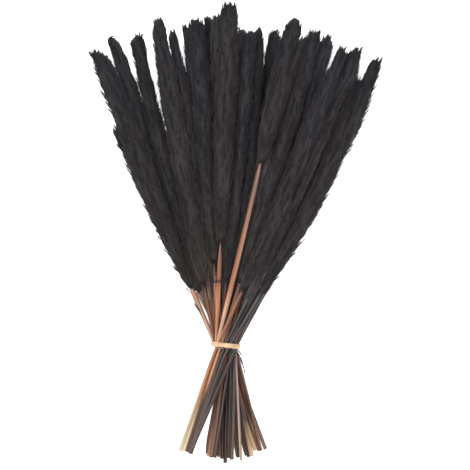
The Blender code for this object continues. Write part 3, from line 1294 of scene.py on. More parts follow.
    def grow_tuft(self, pile: HairPile, tuft: Tuft) -> None:
        """Grows a lock that leaves the outline.

        Args:
            pile: The pile that it goes on.
            tuft: The lock.
        """
        path = np.array([(TIE[0] + x / 1000, TIE[1] + y / 1000) for x, y in tuft.path])
        root_share = (path[:, 1] - self.envelope.start) / self.length
        height = self.envelope.middle(np.clip(root_share, 0.0, 1.0))[:, 2]
        path = np.column_stack((path, height))
        spots = np.linspace(0.0, 1.0, len(path))
        start = self.chance.uniform(-0.05, 0.50, tuft.hairs)
        end = np.clip(start + self.chance.uniform(0.42, 0.66, tuft.hairs), 0.0, 1.0)
        travel = start[:, None] + (end - start)[:, None] * STEPS
        line = np.stack([np.interp(travel, spots, path[:, axis]) for axis in range(3)], -1)
        turn = self.chance.uniform(0.0, math.tau, tuft.hairs)
        off = np.sqrt(self.chance.uniform(0.0, 1.0, tuft.hairs)) * tuft.radius / 1000
        away = outwards(turn)
        narrow = np.clip(1.0 - tuft.taper * travel, 0.1, 1.0)
        knots = line + (away * off[:, None])[:, None] * narrow[..., None]
        # The plume's lightness, with its painted lift, carries over to its tufts.
        tones = (0.42 + self.look.tone_and_painted_lift + self.chance.normal(0.0, 0.06, tuft.hairs))[:, None]
        radius = LOCKS.radius * self.chance.uniform(0.8, 1.2, tuft.hairs)
        pile.strands(knots, away, radius, tones + 0.12 * (travel - 0.5))

    def build(self, material: bpy.types.Material) -> bpy.types.Object:
        """Models the plume and puts it in place of its solid.

        Args:
            material: Its dye.

        Returns:
            The finished plume.
        """
        hairs = sum(self.clumps(coat) * coat.clump for coat in COATS) + FOOT.hairs
        hairs += CROWN.locks * CROWN.hairs
        hairs += 2 * self.barb_count() * BARBS.hairs + sum(tuft.hairs for tuft in self.look.tufts)
        pile = HairPile(hairs)
        self.core(pile)
        for coat in COATS:
            self.grow(pile, coat)
        self.grow_barbs(pile)
        self.grow_foot(pile)
        self.grow_crown(pile)
        for tuft in self.look.tufts:
            self.grow_tuft(pile, tuft)
        piece = pile.object(f"hair_{self.look.number:02d}", material)
        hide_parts(self.node)
        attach(piece, BODY)
        return piece


@dataclass(frozen=True)
class CaneLook:
    """How one cane differs from the others: its dye and slot, from where to where it fades towards
    its cut end, where its growth rings are, both along it from the tie, how much thicker it is below
    the tie than its solid and, with its leaf sheath, above it, and over what length its top narrows
    to a point."""

    number: int
    dye: CaneDye
    slot: str
    fade: tuple[float, float] = (-0.060, -0.085)
    rings: tuple[float, ...] = ()
    swell: float = 1.10
    sheath: float = 1.7
    point: float = 0.004


@dataclass
class Cane:
    """One cane, from its hollow cut end to the foot of its plume. It is cut across at a spacing, and
    closer at its growth rings, which stand up by a share of its radius and are dark a little wider.
    Below the tie it changes its thickness over the neck, and above it over the sheath's run. Edges
    sharper than the crease stay sharp, and each cane's streaks are a step away from the last one's."""

    look: CaneLook
    sides: int = 14
    spacing: float = 0.0090
    solid_gap: float = 0.005
    wall: float = 0.00045
    hollow: float = 0.0020
    ring_cuts: tuple[float, ...] = (-0.0024, -0.0012, 0.0, 0.0012, 0.0024)
    ring_rise: float = 0.14
    ring_width: float = 0.0016
    ring_dark: float = 0.0022
    neck: float = 0.020
    sheath_start: float = 0.004
    sheath_run: float = 0.045
    crease: float = math.radians(50)
    streak_step: float = 0.37

    def __post_init__(self) -> None:
        """Reads where the solid's rings are."""
        self.node = f"stem_{self.look.number:02d}"
        corners = np.array([vertex.co for vertex in bpy.data.objects[self.node].data.vertices], float)
        corners = np.unique(np.round(corners, 6), axis=0)
        corners = corners[np.argsort(corners[:, 1])]
        groups = np.split(corners, np.flatnonzero(np.diff(corners[:, 1]) > self.solid_gap) + 1)
        self.centres = np.array([group.mean(axis=0) for group in groups])
        self.radii = np.array([np.linalg.norm(group - group.mean(axis=0), axis=1).mean() for group in groups])

    def middle(self, along: np.ndarray) -> np.ndarray:
        """The cane's middle line, smooth through the solid's ring centres.

        Args:
            along: Places along the bunch.

        Returns:
            A point for each.
        """
        knots = self.centres[:, 1]
        slopes = np.gradient(self.centres, knots, axis=0)
        piece = np.clip(np.searchsorted(knots, along) - 1, 0, len(knots) - 2)
        width = knots[piece + 1] - knots[piece]
        t = ((along - knots[piece]) / width)[:, None]
        width = width[:, None]
        first, last = self.centres[piece], self.centres[piece + 1]
        return (
            (2 * t**3 - 3 * t**2 + 1) * first
            + (t**3 - 2 * t**2 + t) * width * slopes[piece]
            + (3 * t**2 - 2 * t**3) * last
            + (t**3 - t**2) * width * slopes[piece + 1]
        )

    def stations(self) -> tuple[np.ndarray, np.ndarray]:
        """Where the cane's sections are, and their radii.

        Returns:
            Places along the bunch, and a radius for each.
        """
        low, high = self.centres[0, 1], self.centres[-1, 1]
        places = list(np.linspace(low, high, max(4, round((high - low) / self.spacing))))
        places += [high - self.look.point * share for share in (0.12, 0.3, 0.6, 1.0)]
        rings = [TIE[1] + ring for ring in self.look.rings]
        places += [ring + cut for ring in rings for cut in self.ring_cuts]
        along = np.unique(np.clip(places, low, high))
        along = along[np.concatenate(([True], np.diff(along) > 0.0003))]
        radius = np.interp(along, self.centres[:, 1], self.radii)
        radius *= np.interp(along - TIE[1], (-self.neck, 0.0), (self.look.swell, 1.0))
        past = np.clip((along - TIE[1] - self.sheath_start) / self.sheath_run, 0.0, 1.0)
        radius *= 1 + (self.look.sheath - 1) * smooth(past)
        radius *= np.clip((high - along) / self.look.point, 0.12, 1.0) ** 0.7
        for ring in rings:
            radius *= 1 + self.ring_rise * np.exp(-(((along - ring) / self.ring_width) ** 2))
        return along, radius

    def model(self) -> bpy.types.Object:
        """Draws the cane out, section by section, from a disc at its cut end, and hollows that end.

        Returns:
            The new object, with its place in its mesh.
        """
        along, radius = self.stations()
        line = self.middle(along)
        heading = Vector(line[-1] - line[0]).to_track_quat("Z", "Y").to_euler()
        bpy.ops.mesh.primitive_circle_add(
            vertices=self.sides, radius=radius[0], fill_type="NGON", location=line[0], rotation=heading
        )
        piece = bpy.context.object
        piece.name = f"cane_{self.look.number:02d}"
        bpy.ops.object.mode_set(mode="EDIT")
        bpy.ops.mesh.select_all(action="SELECT")
        for (start, end), (thick, thin) in zip(pairwise(line), pairwise(radius)):
            bpy.ops.mesh.extrude_region_move(TRANSFORM_OT_translate={"value": tuple(end - start)})
            bpy.ops.transform.resize(value=(thin / thick,) * 3, center_override=tuple(end))
        bpy.ops.mesh.select_all(action="SELECT")
        bpy.ops.mesh.normals_make_consistent(inside=False)
        bpy.ops.mesh.select_all(action="DESELECT")
        bpy.ops.object.mode_set(mode="OBJECT")
        bpy.ops.object.transform_apply(location=True, rotation=True, scale=True)
        for face in piece.data.polygons:
            face.select = len(face.vertices) > 4 and face.center.y < line[0][1] + 1.5 * self.hollow
        bpy.ops.object.mode_set(mode="EDIT")
        bpy.ops.mesh.inset(thickness=self.wall)
        inward = tuple(Vector(line[1] - line[0]).normalized() * self.hollow)
        bpy.ops.mesh.extrude_region_move(TRANSFORM_OT_translate={"value": inward})
        bpy.ops.mesh.select_all(action="DESELECT")
        bpy.ops.object.mode_set(mode="OBJECT")
        bpy.ops.object.shade_smooth_by_angle(angle=self.crease)
        piece.select_set(False)
        return piece

    def dress(self, piece: bpy.types.Object, skin: bpy.types.Material, pith: bpy.types.Material) -> None:
        """Gives the cane its dye, the pith of its cut end, and the marks that its patterns follow.

        Args:
            piece: The cane.
            skin: The dye.
            pith: The material of the cut end.
        """
        mesh = piece.data
        points = np.empty(len(mesh.vertices) * 3, np.float32)
        mesh.vertices.foreach_get("co", points)
        points = points.reshape(-1, 3).astype(float)
        low, high = self.centres[0, 1], self.centres[-1, 1]
        centre = self.middle(np.clip(points[:, 1], low, high))
        away = (points - centre)[:, (0, 2)] + self.streak_step * self.look.number
        along = points[:, 1] - TIE[1]
        start, end = self.look.fade
        dark = np.zeros(len(points))
        for ring in self.look.rings:
            dark = np.maximum(dark, np.exp(-(((along - ring) / self.ring_dark) ** 2)))
        carry(mesh, GRAIN, np.column_stack((away, along)))
        carry(mesh, FADE, np.clip((start - along) / (start - end), 0.0, 1.0))
        carry(mesh, RING, dark)
        mesh.materials.append(skin)
        mesh.materials.append(pith)
        inner = self.radii[0] * 0.9
        for face in mesh.polygons:
            off = np.linalg.norm(np.array(face.center)[[0, 2]] - centre[face.vertices[0]][[0, 2]])
            if face.center.y < low + 2 * self.hollow and (len(face.vertices) > 4 or off < inner):
                face.material_index = 1

    def build(self, skin: bpy.types.Material, pith: bpy.types.Material) -> bpy.types.Object:
        """Models the cane and puts it in place of its solid.

        Args:
            skin: Its dye.
            pith: The material of its cut end.

        Returns:
            The finished cane.
        """
        piece = self.model()
        self.dress(piece, skin, pith)
        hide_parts(self.node)
        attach(piece, BODY)
        return piece


@dataclass(frozen=True)
class LeafLook:
    """A dried leaf sheath that has come loose from its cane: the cane, its dye and slot, where it
    starts and ends along it from the tie, how far its middle is to the right of the cane's and how
    wide it is, both at its start and at its end, and how far below the cane it lies. Lengths are in
    millimetres."""

    number: int
    cane: int
    dye: CaneDye
    slot: str
    reach: tuple[float, float]
    aside: tuple[float, float]
    width: tuple[float, float]
    drop: float


@dataclass
class Leaf:
    """A loose leaf sheath: a thin strip, arched across, that narrows over its torn end down to a tip,
    which is a share of its width. Each leaf's streaks are a step away from the last one's."""

    look: LeafLook
    rows: int = 22
    columns: int = 6
    arch: float = 0.45
    thickness: float = 0.00030
    torn: float = 0.25
    tip: float = 0.08
    crease: float = math.radians(60)
    streak_step: float = 0.21

    def build(self, cane: Cane, skin: bpy.types.Material) -> bpy.types.Object:
        """Models the leaf beside its cane.

        Args:
            cane: The cane that it grew on.
            skin: Its dye.

        Returns:
            The finished leaf.
        """
        bpy.ops.mesh.primitive_grid_add(x_subdivisions=self.columns, y_subdivisions=self.rows, size=2.0)
        piece = bpy.context.object
        piece.name = f"leaf_{self.look.number:02d}"
        mesh = piece.data
        flat = np.array([vertex.co for vertex in mesh.vertices], float)
        across, share = flat[:, 0], (flat[:, 1] + 1) / 2
        along, aside, width = (
            (start + (end - start) * share) / 1000
            for start, end in (self.look.reach, self.look.aside, self.look.width)
        )
        half = width / 2 * np.clip((1 - share) / self.torn, self.tip, 1.0) ** 0.6
        points = cane.middle(along + TIE[1])
        points[:, 0] += aside + across * half
        points[:, 2] -= self.look.drop / 1000 + self.arch * half * across**2
        mesh.vertices.foreach_set("co", points.astype(np.float32).ravel())
        over = across * half + self.streak_step * self.look.number
        carry(mesh, GRAIN, np.column_stack((over, 0.4 * aside, along)))
        wall = piece.modifiers.new("Thickness", "SOLIDIFY")
        wall.thickness = self.thickness
        bpy.ops.object.modifier_apply(modifier="Thickness")
        bpy.ops.object.shade_smooth_by_angle(angle=self.crease)
        mesh.materials.append(skin)
        piece.select_set(False)
        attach(piece, BODY)
        return piece


@dataclass(frozen=True)
class Fibres:
    """Loose fibres beside the stems: their paths in millimetres from the tie, as (across, along), how
    high they lie, how thick they are and how light, and how far they rise and fall on their way, with
    how many knots each."""

    name: str
    paths: tuple[tuple[tuple[float, float], ...], ...]
    height: float
    radius: float
    tone: float
    dye: HairDye = HairDye.UMBER
    wave: float = 0.0012
    knots: int = 6

    def build(self, material: bpy.types.Material) -> bpy.types.Object:
        """Models the fibres.

        Args:
            material: Their dye.

        Returns:
            The finished fibres.
        """
        pile = HairPile(len(self.paths))
        steps = np.linspace(0.0, 1.0, self.knots)
        for path in self.paths:
            line = np.array(path) / 1000 + TIE
            spots = np.linspace(0.0, 1.0, len(line))
            across, along = (np.interp(steps, spots, line[:, axis]) for axis in range(2))
            height = self.height + self.wave * np.sin(steps * 2.4 + len(pile.points))
            knots = np.column_stack((across, along, height))[None]
            tones = np.full((1, len(steps)), self.tone) - 0.25 * steps
            pile.strands(knots, np.array(((0.0, 0.0, 1.0),)), np.array((self.radius,)), tones)
        piece = pile.object(self.name, material)
        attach(piece, BODY)
        return piece


@dataclass
class Strap:
    """The flat elastic band that holds the stems where they cross. It lies a little inside the solid,
    whose corners are told apart by their turn, and its edges are rounded. Edges sharper than the
    crease stay sharp."""

    node: str = "band"
    slant: float = -0.10
    width: float = 0.0046
    thickness: float = 0.0011
    corners: int = 84
    edge: float = 0.00045
    inside: float = 0.0010
    same_turn: float = 0.02
    crease: float = math.radians(70)

    def outline(self) -> np.ndarray:
        """The strap's outer line, softened from the solid's outline.

        Returns:
            Points as (across, height).
        """
        corners = bpy.data.objects[self.node].data.vertices
        solid = np.array([corner.co for corner in corners], float)[:, (0, 2)]
        centre = (solid.min(axis=0) + solid.max(axis=0)) / 2
        angles = np.linspace(0.0, math.tau, self.corners, endpoint=False)
        offsets = solid - centre
        turns = np.arctan2(offsets[:, 1], offsets[:, 0])
        reach = np.hypot(*offsets.T)
        outer = np.array([
            (turn, reach[np.abs(turns - turn) < self.same_turn].max())
            for turn in np.unique(np.round(turns, 2))
        ])
        reaches = np.interp(angles, outer[:, 0], outer[:, 1], period=math.tau)
        for _ in range(2):
            reaches = (np.roll(reaches, 1) + 2 * reaches + np.roll(reaches, -1)) / 4
        return centre + np.column_stack((np.cos(angles), np.sin(angles))) * (reaches - self.inside)[:, None]

    def build(self, material: bpy.types.Material) -> bpy.types.Object:
        """Models the strap and puts it in place of its solid.

        Args:
            material: Its material.

        Returns:
            The finished strap.
        """
        bpy.ops.mesh.primitive_cylinder_add(
            vertices=self.corners, end_fill_type="NOTHING", rotation=(math.pi / 2, 0.0, 0.0)
        )
        piece = bpy.context.object
        piece.name = "elastic_band"
        bpy.ops.object.transform_apply(rotation=True)
        outline = self.outline()
        for vertex in piece.data.vertices:
            turn = math.atan2(vertex.co.z, vertex.co.x) % math.tau
            across, height = outline[round(turn / math.tau * self.corners) % self.corners]
            along = TIE[1] + math.copysign(self.width / 2, vertex.co.y) + self.slant * (across - TIE[0])
            vertex.co = (across, along, height)
        wall = piece.modifiers.new("Thickness", "SOLIDIFY")
        wall.thickness = self.thickness
        wall.offset = -1.0
        soft = piece.modifiers.new("Soft edges", "BEVEL")
        soft.width = self.edge
        soft.segments = 4
        soft.limit_method = "ANGLE"
        soft.angle_limit = math.radians(60)
        for modifier in ("Thickness", "Soft edges"):
            bpy.ops.object.modifier_apply(modifier=modifier)
        bpy.ops.object.mode_set(mode="EDIT")
        bpy.ops.mesh.select_all(action="SELECT")
        bpy.ops.mesh.normals_make_consistent(inside=False)
        bpy.ops.object.mode_set(mode="OBJECT")
        bpy.ops.object.shade_smooth_by_angle(angle=self.crease)
        piece.data.materials.append(material)
        piece.select_set(False)
        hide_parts(self.node)
        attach(piece, BODY)
        return piece


@dataclass(frozen=True)
class Lamp:
    """A square lamp that shines at the middle of the table: its name, place, side and watts."""

    name: str
    place: tuple[float, float, float]
    side: float
    power: float


@dataclass
class Studio:
    """A white table that glows a little, soft light from all round and from the upper left, and the
    camera above, far off, so that it sees the bunch almost without perspective."""

    table_side: float = 14.0
    table_height: float = -0.0002
    table_white: float = 0.92
    table_roughness: float = 0.9
    table_glow: float = 0.62
    picture_side: float = 0.4592
    picture_middle: tuple[float, float] = (-0.00195, -0.0025)
    focus_height: float = 0.030
    camera_rise: float = 4.0
    sensor: float = 36.0
    sky: float = 0.78
    lamps: tuple[Lamp, ...] = (
        Lamp("Key", (-0.40, 0.55, 2.0), 1.3, 40.0),
        Lamp("Fill", (0.9, -0.5, 1.9), 1.6, 12.0),
    )

    def table(self) -> bpy.types.Object:
        """Makes the table top.

        Returns:
            The table top.
        """
        bpy.ops.mesh.primitive_plane_add(size=self.table_side, location=(0.0, 0.0, self.table_height))
        top = bpy.context.object
        top.name = "table_top"
        bench = NodeBench("Table white")
        bench.settle(
            Base_Color=(self.table_white,) * 3 + (1.0,),
            Roughness=self.table_roughness,
            Emission_Color=(1.0, 1.0, 1.0, 1.0),
            Emission_Strength=self.table_glow,
        )
        top.data.materials.append(bench.material)
        top.select_set(False)
        return top

    def lights(self) -> None:
        """Lights the room evenly and adds the lamps, the stronger one at the upper left."""
        world = bpy.data.worlds.new("Studio")
        world.use_nodes = True
        world.node_tree.nodes["Background"].inputs["Color"].default_value = (1.0, 1.0, 1.0, 1.0)
        world.node_tree.nodes["Background"].inputs["Strength"].default_value = self.sky
        bpy.context.scene.world = world
        for lamp in self.lamps:
            light = bpy.data.lights.new(lamp.name, "AREA")
            light.size = lamp.side
            light.energy = lamp.power
            holder = bpy.data.objects.new(lamp.name, light)
            holder.location = lamp.place
            holder.rotation_euler = Vector(lamp.place).to_track_quat("Z", "Y").to_euler()
            holder.visible_camera = False
            bpy.context.scene.collection.objects.link(holder)

    def camera(self) -> None:
        """Sets the camera straight above, with the plumes towards the top of the picture."""
        data = bpy.data.cameras.new("Camera above")
        data.sensor_width = self.sensor
        data.lens = self.sensor * self.camera_rise / self.picture_side
        data.clip_end = 100.0
        holder = bpy.data.objects.new("Camera above", data)
        holder.location = (*self.picture_middle, self.focus_height + self.camera_rise)
        bpy.context.scene.collection.objects.link(holder)
        bpy.context.scene.camera = holder

    def build(self) -> None:
        """Sets up the whole studio."""
        self.table()
        self.lights()
        self.camera()
        bpy.context.scene.view_settings.view_transform = "Standard"


# The high lightness of plumes 14, 16, 19, 21 and 27 is mostly painted light that lifts the shade of the seams
# where they show between other plumes.
PLUMES = (
    PlumeLook(
        1, HairDye.BROWN, tone_and_painted_lift=0.1, foot=3.0, skirt=0.6, dome=3.0, outer=-1, crown=-1.5,
        tufts=(
            Tuft(((-104.2, 204.0), (-105.8, 211.0), (-107.0, 217.5)), 1.6, 34),
            Tuft(((-101.8, 204.0), (-102.8, 211.0), (-103.2, 216.5)), 1.5, 30),
            Tuft(((-106.2, 202.0), (-108.4, 208.0), (-110.0, 212.5)), 1.4, 26),
            Tuft(((-103.3, 200.3), (-107.6, 204.6), (-111.0, 208.4)), 2.0, 40),
            Tuft(((-100.3, 190.5), (-104.6, 194.4), (-108.2, 197.4)), 1.6, 30),
        ),
    ),
    PlumeLook(
        2, HairDye.BROWN, tone_and_painted_lift=-0.19, foot=3.0, skirt=0.4,
        brush=0.5, dome=1.0, slant=3.2, crown=-1.6, outer=-1,
        swells=(Swell(-1, 2.4, 0.85, 0.08), Swell(1, 2.3, 0.88, 0.06)),
        tufts=(
            Tuft(((-122.4, 268.6), (-126.2, 280.4), (-128.0, 289.8)), 3.2, 80, 0.7),
            Tuft(((-120.4, 270.6), (-123.4, 281.4), (-124.4, 288.8)), 2.8, 70, 0.7),
            Tuft(((-118.9, 270.6), (-119.4, 280.4), (-119.9, 286.7)), 2.0, 45),
            Tuft(((-116.0, 268.7), (-115.5, 277.5), (-115.0, 283.3)), 2.0, 45),
            Tuft(((-113.0, 265.7), (-112.1, 273.6), (-111.6, 278.4)), 1.8, 36),
            Tuft(((-101.3, 194.4), (-105.2, 202.2), (-109.1, 209.1)), 1.5, 26),
            Tuft(((-100.3, 190.5), (-103.8, 195.4), (-106.2, 199.3)), 1.4, 20),
            Tuft(((-87.6, 161.2), (-90.6, 166.1), (-93.0, 170.0)), 1.2, 16),
            Tuft(((-66.1, 116.3), (-67.1, 111.4), (-67.6, 108.4)), 1.0, 12),
        ),
    ),
    PlumeLook(
        3, HairDye.BLACK, tone_and_painted_lift=-0.03, foot=14.0, brush=0.0, dome=6.0, slant=5.0, crown=6.0,
        swells=(Swell(1, -2.4, 0.91, 0.09), Swell(-1, 1.2, 0.88, 0.05), Swell(-1, 1.7, 0.835, 0.04)),
        tufts=(
            Tuft(
                ((-107.0, 279.0), (-110.1, 289.0), (-113.4, 296.0),
                 (-113.4, 300.0), (-110.9, 301.9), (-107.6, 301.6)),
                3.4, 120, 0.75,
            ),
            Tuft(((-104.0, 280.0), (-107.4, 287.5), (-111.0, 294.0)), 2.6, 60, 0.6),
        ),
    ),
    PlumeLook(
        4, HairDye.BLACK, tone_and_painted_lift=-0.15, foot=16.0, dome=1.0, slant=-2.5, crown=5.0,
        swells=(Swell(1, -2.0, 0.8, 0.18), Swell(-1, 1.0, 0.93, 0.06)),
        tufts=(
            Tuft(((-85.2, 290.0), (-86.2, 298.9), (-89.2, 306.0)), 2.2, 50, 0.85),
            Tuft(((-84.2, 290.0), (-82.8, 298.9), (-80.6, 305.4)), 2.2, 50, 0.85),
            Tuft(((-88.0, 285.0), (-91.0, 290.5), (-93.7, 296.0)), 2.2, 50),
        ),
    ),
    PlumeLook(5, HairDye.BLACK, foot=30.0, skirt=4.0),
    PlumeLook(
        6, HairDye.BROWN, tone_and_painted_lift=-0.11, foot=34.0, skirt=4.4, dome=12.0,
        swells=(Swell(-1, 1.2, 0.86, 0.06), Swell(1, -3.2, 0.91, 0.08)),
        tufts=(
            Tuft(((-66.1, 305.8), (-67.1, 312.6), (-68.1, 318.5)), 2.5, 50),
            Tuft(((-63.2, 305.8), (-63.2, 313.6), (-62.7, 320.5)), 2.4, 56),
        ),
    ),
    PlumeLook(
        7, HairDye.BROWN, tone_and_painted_lift=0.08, foot=32.0, skirt=4.6, dome=4.0,
        swells=(Swell(1, -3.2, 0.96), Swell(-1, -2.2, 0.91, 0.09)),
        tufts=(
            Tuft(((-49.5, 292.1), (-51.5, 300.9), (-53.4, 307.8)), 2.2, 50),
        ),
    ),
    PlumeLook(
        8, HairDye.BLACK, tone_and_painted_lift=0.2, foot=34.0, skirt=3.6, dome=2.0, crown=-1.0,
        swells=(Swell(-1, -2.9, 0.97, 0.13),),
        tufts=(
            Tuft(((-36.8, 301.9), (-38.3, 308.7), (-39.8, 314.1)), 2.8, 50),
            Tuft(((-33.9, 303.8), (-34.9, 310.7), (-35.9, 317.0)), 2.4, 45),
        ),
    ),
    PlumeLook(
        9, HairDye.BLACK, tone_and_painted_lift=-0.07, foot=1.0, dome=2.0, crown=2.0,
        tufts=(
            Tuft(((-31.0, 305.8), (-31.0, 312.6), (-31.9, 319.5)), 2.4, 45),
            Tuft(((-27.1, 307.8), (-26.6, 315.6), (-26.6, 322.4)), 1.7, 36),
        ),
    ),
    PlumeLook(10, HairDye.BLACK, tone_and_painted_lift=0.15, foot=28.0),
    PlumeLook(
        11, HairDye.BLACK, foot=26.0, dome=2.0,
        tufts=(
            Tuft(((-17.3, 307.8), (-18.3, 314.6), (-19.2, 321.9)), 2.5, 50),
            Tuft(((-14.4, 307.8), (-14.4, 314.6), (-14.9, 321.9)), 2.5, 45),
        ),
    ),
    PlumeLook(
        12, HairDye.BROWN, tone_and_painted_lift=0.08, foot=26.0, dome=2.0,
        tufts=(
            Tuft(((-10.5, 309.7), (-10.5, 316.5), (-10.5, 322.4)), 2.5, 45),
            Tuft(((-6.5, 309.7), (-6.5, 316.5), (-5.6, 321.9)), 2.5, 45),
        ),
    ),
    PlumeLook(
        13, HairDye.UMBER, tone_and_painted_lift=-0.26, fade=0.40, foot=4.0, skirt=1.0, brush=0.35,
        tufts=(
            Tuft(((1.3, 319.5), (1.3, 326.3), (1.3, 332.2)), 3.0, 50),
            Tuft(((5.2, 319.5), (5.2, 327.3), (5.2, 334.1)), 3.2, 60),
            Tuft(((8.1, 317.5), (8.1, 324.4), (8.6, 330.2)), 2.4, 40),
        ),
    ),
    PlumeLook(
        14, HairDye.BLACK, tone_and_painted_lift=0.62, foot=28.0, dome=2.0, slant=2.5,
        tufts=(
            Tuft(((14.9, 298.0), (14.0, 304.8), (13.0, 311.7)), 2.4, 45),
            Tuft(((17.9, 298.0), (17.9, 303.8), (17.4, 308.7)), 2.2, 40),
        ),
    ),
    PlumeLook(
        15, HairDye.BLACK, tone_and_painted_lift=-0.05, foot=26.0, dome=3.0, crown=2.0,
        tufts=(
            Tuft(((22.8, 294.1), (22.8, 299.9), (22.3, 305.8)), 2.8, 50),
        ),
    ),
    PlumeLook(16, HairDye.BLACK, tone_and_painted_lift=0.5, foot=28.0),
    PlumeLook(
        17, HairDye.BLACK, tone_and_painted_lift=-0.2, foot=28.0, brush=0.0, dome=9.0, slant=2.5, crown=2.0,
        swells=(Swell(1, -3.4, 0.96, 0.06),),
        tufts=(
            Tuft(((30.6, 294.1), (31.6, 303.8), (33.0, 313.1)), 1.8, 46),
            Tuft(((29.6, 292.1), (29.1, 299.0), (28.6, 304.8)), 2.0, 36),
        ),
    ),
    PlumeLook(
        18, HairDye.BLACK, tone_and_painted_lift=0.1, foot=28.0, brush=0.1, dome=7.0, crown=-1.0,
        swells=(Swell(-1, -1.8, 0.98, 0.05),),
        tufts=(
            Tuft(((48.2, 294.1), (48.7, 302.9), (48.7, 310.2)), 3.2, 76),
        ),
    ),
    PlumeLook(19, HairDye.BLACK, tone_and_painted_lift=0.36),
    PlumeLook(
        20, HairDye.UMBER, tone_and_painted_lift=-0.34, foot=5.0, skirt=0.8, brush=0.35, dome=2.0, crown=5.0,
        swells=(Swell(-1, -2.4, 0.98, 0.06), Swell(1, 3.8, 0.83)),
        tufts=(
            Tuft(((69.7, 301.0), (70.6, 309.0), (71.4, 318.0)), 1.8, 40),
            Tuft(((66.4, 305.0), (66.9, 312.4), (67.4, 321.6)), 1.8, 40),
            Tuft(((63.4, 303.0), (63.2, 309.4), (62.8, 316.4)), 1.8, 36),
            Tuft(((71.4, 299.0), (72.6, 306.0), (73.8, 314.0)), 1.6, 32),
            Tuft(((68.2, 308.0), (68.8, 314.0), (69.4, 319.8)), 0.9, 18),
        ),
    ),
    PlumeLook(
        21, HairDye.BROWN, tone_and_painted_lift=0.86, foot=26.0,
        tufts=(
            Tuft(((78.5, 286.3), (78.0, 294.1), (77.0, 300.4)), 2.5, 50),
        ),
    ),
    PlumeLook(22, HairDye.BLACK, tone_and_painted_lift=0.1, foot=28.0),
    PlumeLook(
        23, HairDye.BROWN, tone_and_painted_lift=-0.05, foot=10.0, dome=3.0,
        tufts=(
            Tuft(((87.2, 292.1), (86.8, 299.9), (85.8, 307.8)), 2.0, 46),
            Tuft(((90.2, 292.1), (90.7, 299.9), (91.6, 307.8)), 2.0, 46),
        ),
    ),
    PlumeLook(
        24, HairDye.BROWN, tone_and_painted_lift=0.24, foot=22.0, brush=0.1, dome=8.0,
        swells=(Swell(1, 2.2, 0.9, 0.08),),
        tufts=(
            Tuft(((99.9, 286.3), (101.4, 294.1), (102.4, 302.4)), 2.6, 60),
        ),
    ),
    PlumeLook(
        25, HairDye.BLACK, tone_and_painted_lift=0.05, foot=12.0, brush=0.0, dome=6.0,
        swells=(Swell(-1, -4.0, 0.95, 0.07),),
        tufts=(
            Tuft(((112.6, 276.5), (113.1, 284.3), (113.6, 291.6)), 3.0, 70),
        ),
    ),
    PlumeLook(
        26, HairDye.BLACK, tone_and_painted_lift=0.18, foot=26.0, skirt=4.0, brush=0.0, dome=4.0,
        swells=(Swell(1, 4.4, 0.89), Swell(1, 4.0, 0.865, 0.04)),
        tufts=(
            Tuft(((125.3, 274.5), (127.3, 283.3), (128.8, 289.7), (132.7, 291.1)), 2.0, 50),
            Tuft(((127.3, 270.6), (129.3, 277.5), (132.2, 283.3)), 1.6, 30),
            Tuft(((123.4, 276.5), (123.9, 283.3), (124.4, 288.7)), 2.0, 40),
        ),
    ),
    PlumeLook(27, HairDye.BLACK, tone_and_painted_lift=0.72, foot=20.0, skirt=1.6, outer=1),
    PlumeLook(
        28, HairDye.BROWN, tone_and_painted_lift=-0.22, foot=14.0, skirt=1.2, brush=0.1, dome=2.0, slant=-1.0, outer=1,
        swells=(Swell(1, 3.8, 0.72, 0.12), Swell(1, 1.8, 0.87, 0.06), Swell(-1, -5.0, 0.92, 0.08)),
        tufts=(
            Tuft(((142.0, 262.8), (142.9, 271.6), (143.4, 279.4)), 2.5, 46),
            Tuft(((144.9, 264.8), (145.9, 272.6), (146.4, 279.9)), 2.2, 40),
            Tuft(((147.2, 263.8), (148.0, 271.6), (149.0, 279.0)), 2.2, 40),
        ),
    ),
)

CANES = (
    CaneLook(1, CaneDye.CORK, "brown", fade=(-0.070, -0.095)),
    CaneLook(2, CaneDye.CORK, "brown", fade=(-0.070, -0.095)),
    CaneLook(3, CaneDye.OLIVE, "brown", fade=(-0.070, -0.088)),
    CaneLook(4, CaneDye.TAN, "brown", fade=(-0.055, -0.090)),
    CaneLook(5, CaneDye.BARK, "brown"),
    CaneLook(6, CaneDye.BARK, "brown"),
    CaneLook(7, CaneDye.SEPIA, "brown"),
    CaneLook(8, CaneDye.TAN, "brown", fade=(-0.070, -0.115)),
    CaneLook(9, CaneDye.ROSE, "amber", rings=(0.0625,), point=0.018),
    CaneLook(10, CaneDye.SEPIA, "black"),
    CaneLook(11, CaneDye.BLUSH, "blush", swell=0.72),
    CaneLook(12, CaneDye.BLACK, "black", rings=(0.0625,)),
    CaneLook(13, CaneDye.AMBER, "amber", rings=(0.0625,), point=0.020),
    CaneLook(14, CaneDye.BLACK, "black"),
    CaneLook(15, CaneDye.SEPIA, "black"),
    CaneLook(16, CaneDye.BLACK, "black"),
    CaneLook(17, CaneDye.BLACK, "black"),
    CaneLook(18, CaneDye.SLATE, "black"),
    CaneLook(19, CaneDye.SEPIA, "brown"),
    CaneLook(20, CaneDye.APRICOT, "amber", fade=(-0.062, -0.078), sheath=1.8, point=0.014),
    CaneLook(21, CaneDye.RUST, "amber", fade=(-0.068, -0.100)),
    CaneLook(22, CaneDye.BLACK, "black"),
    CaneLook(23, CaneDye.MAUVE, "brown", fade=(-0.034, -0.052)),
    CaneLook(24, CaneDye.RUST, "brown", fade=(-0.045, -0.095), sheath=2.3),
    CaneLook(25, CaneDye.STRAW, "amber", fade=(-0.030, -0.062)),
    CaneLook(26, CaneDye.SLATE, "black", sheath=2.6),
    CaneLook(27, CaneDye.SLATE, "black", sheath=2.4),
    CaneLook(28, CaneDye.SLATE, "black", sheath=2.6),
)
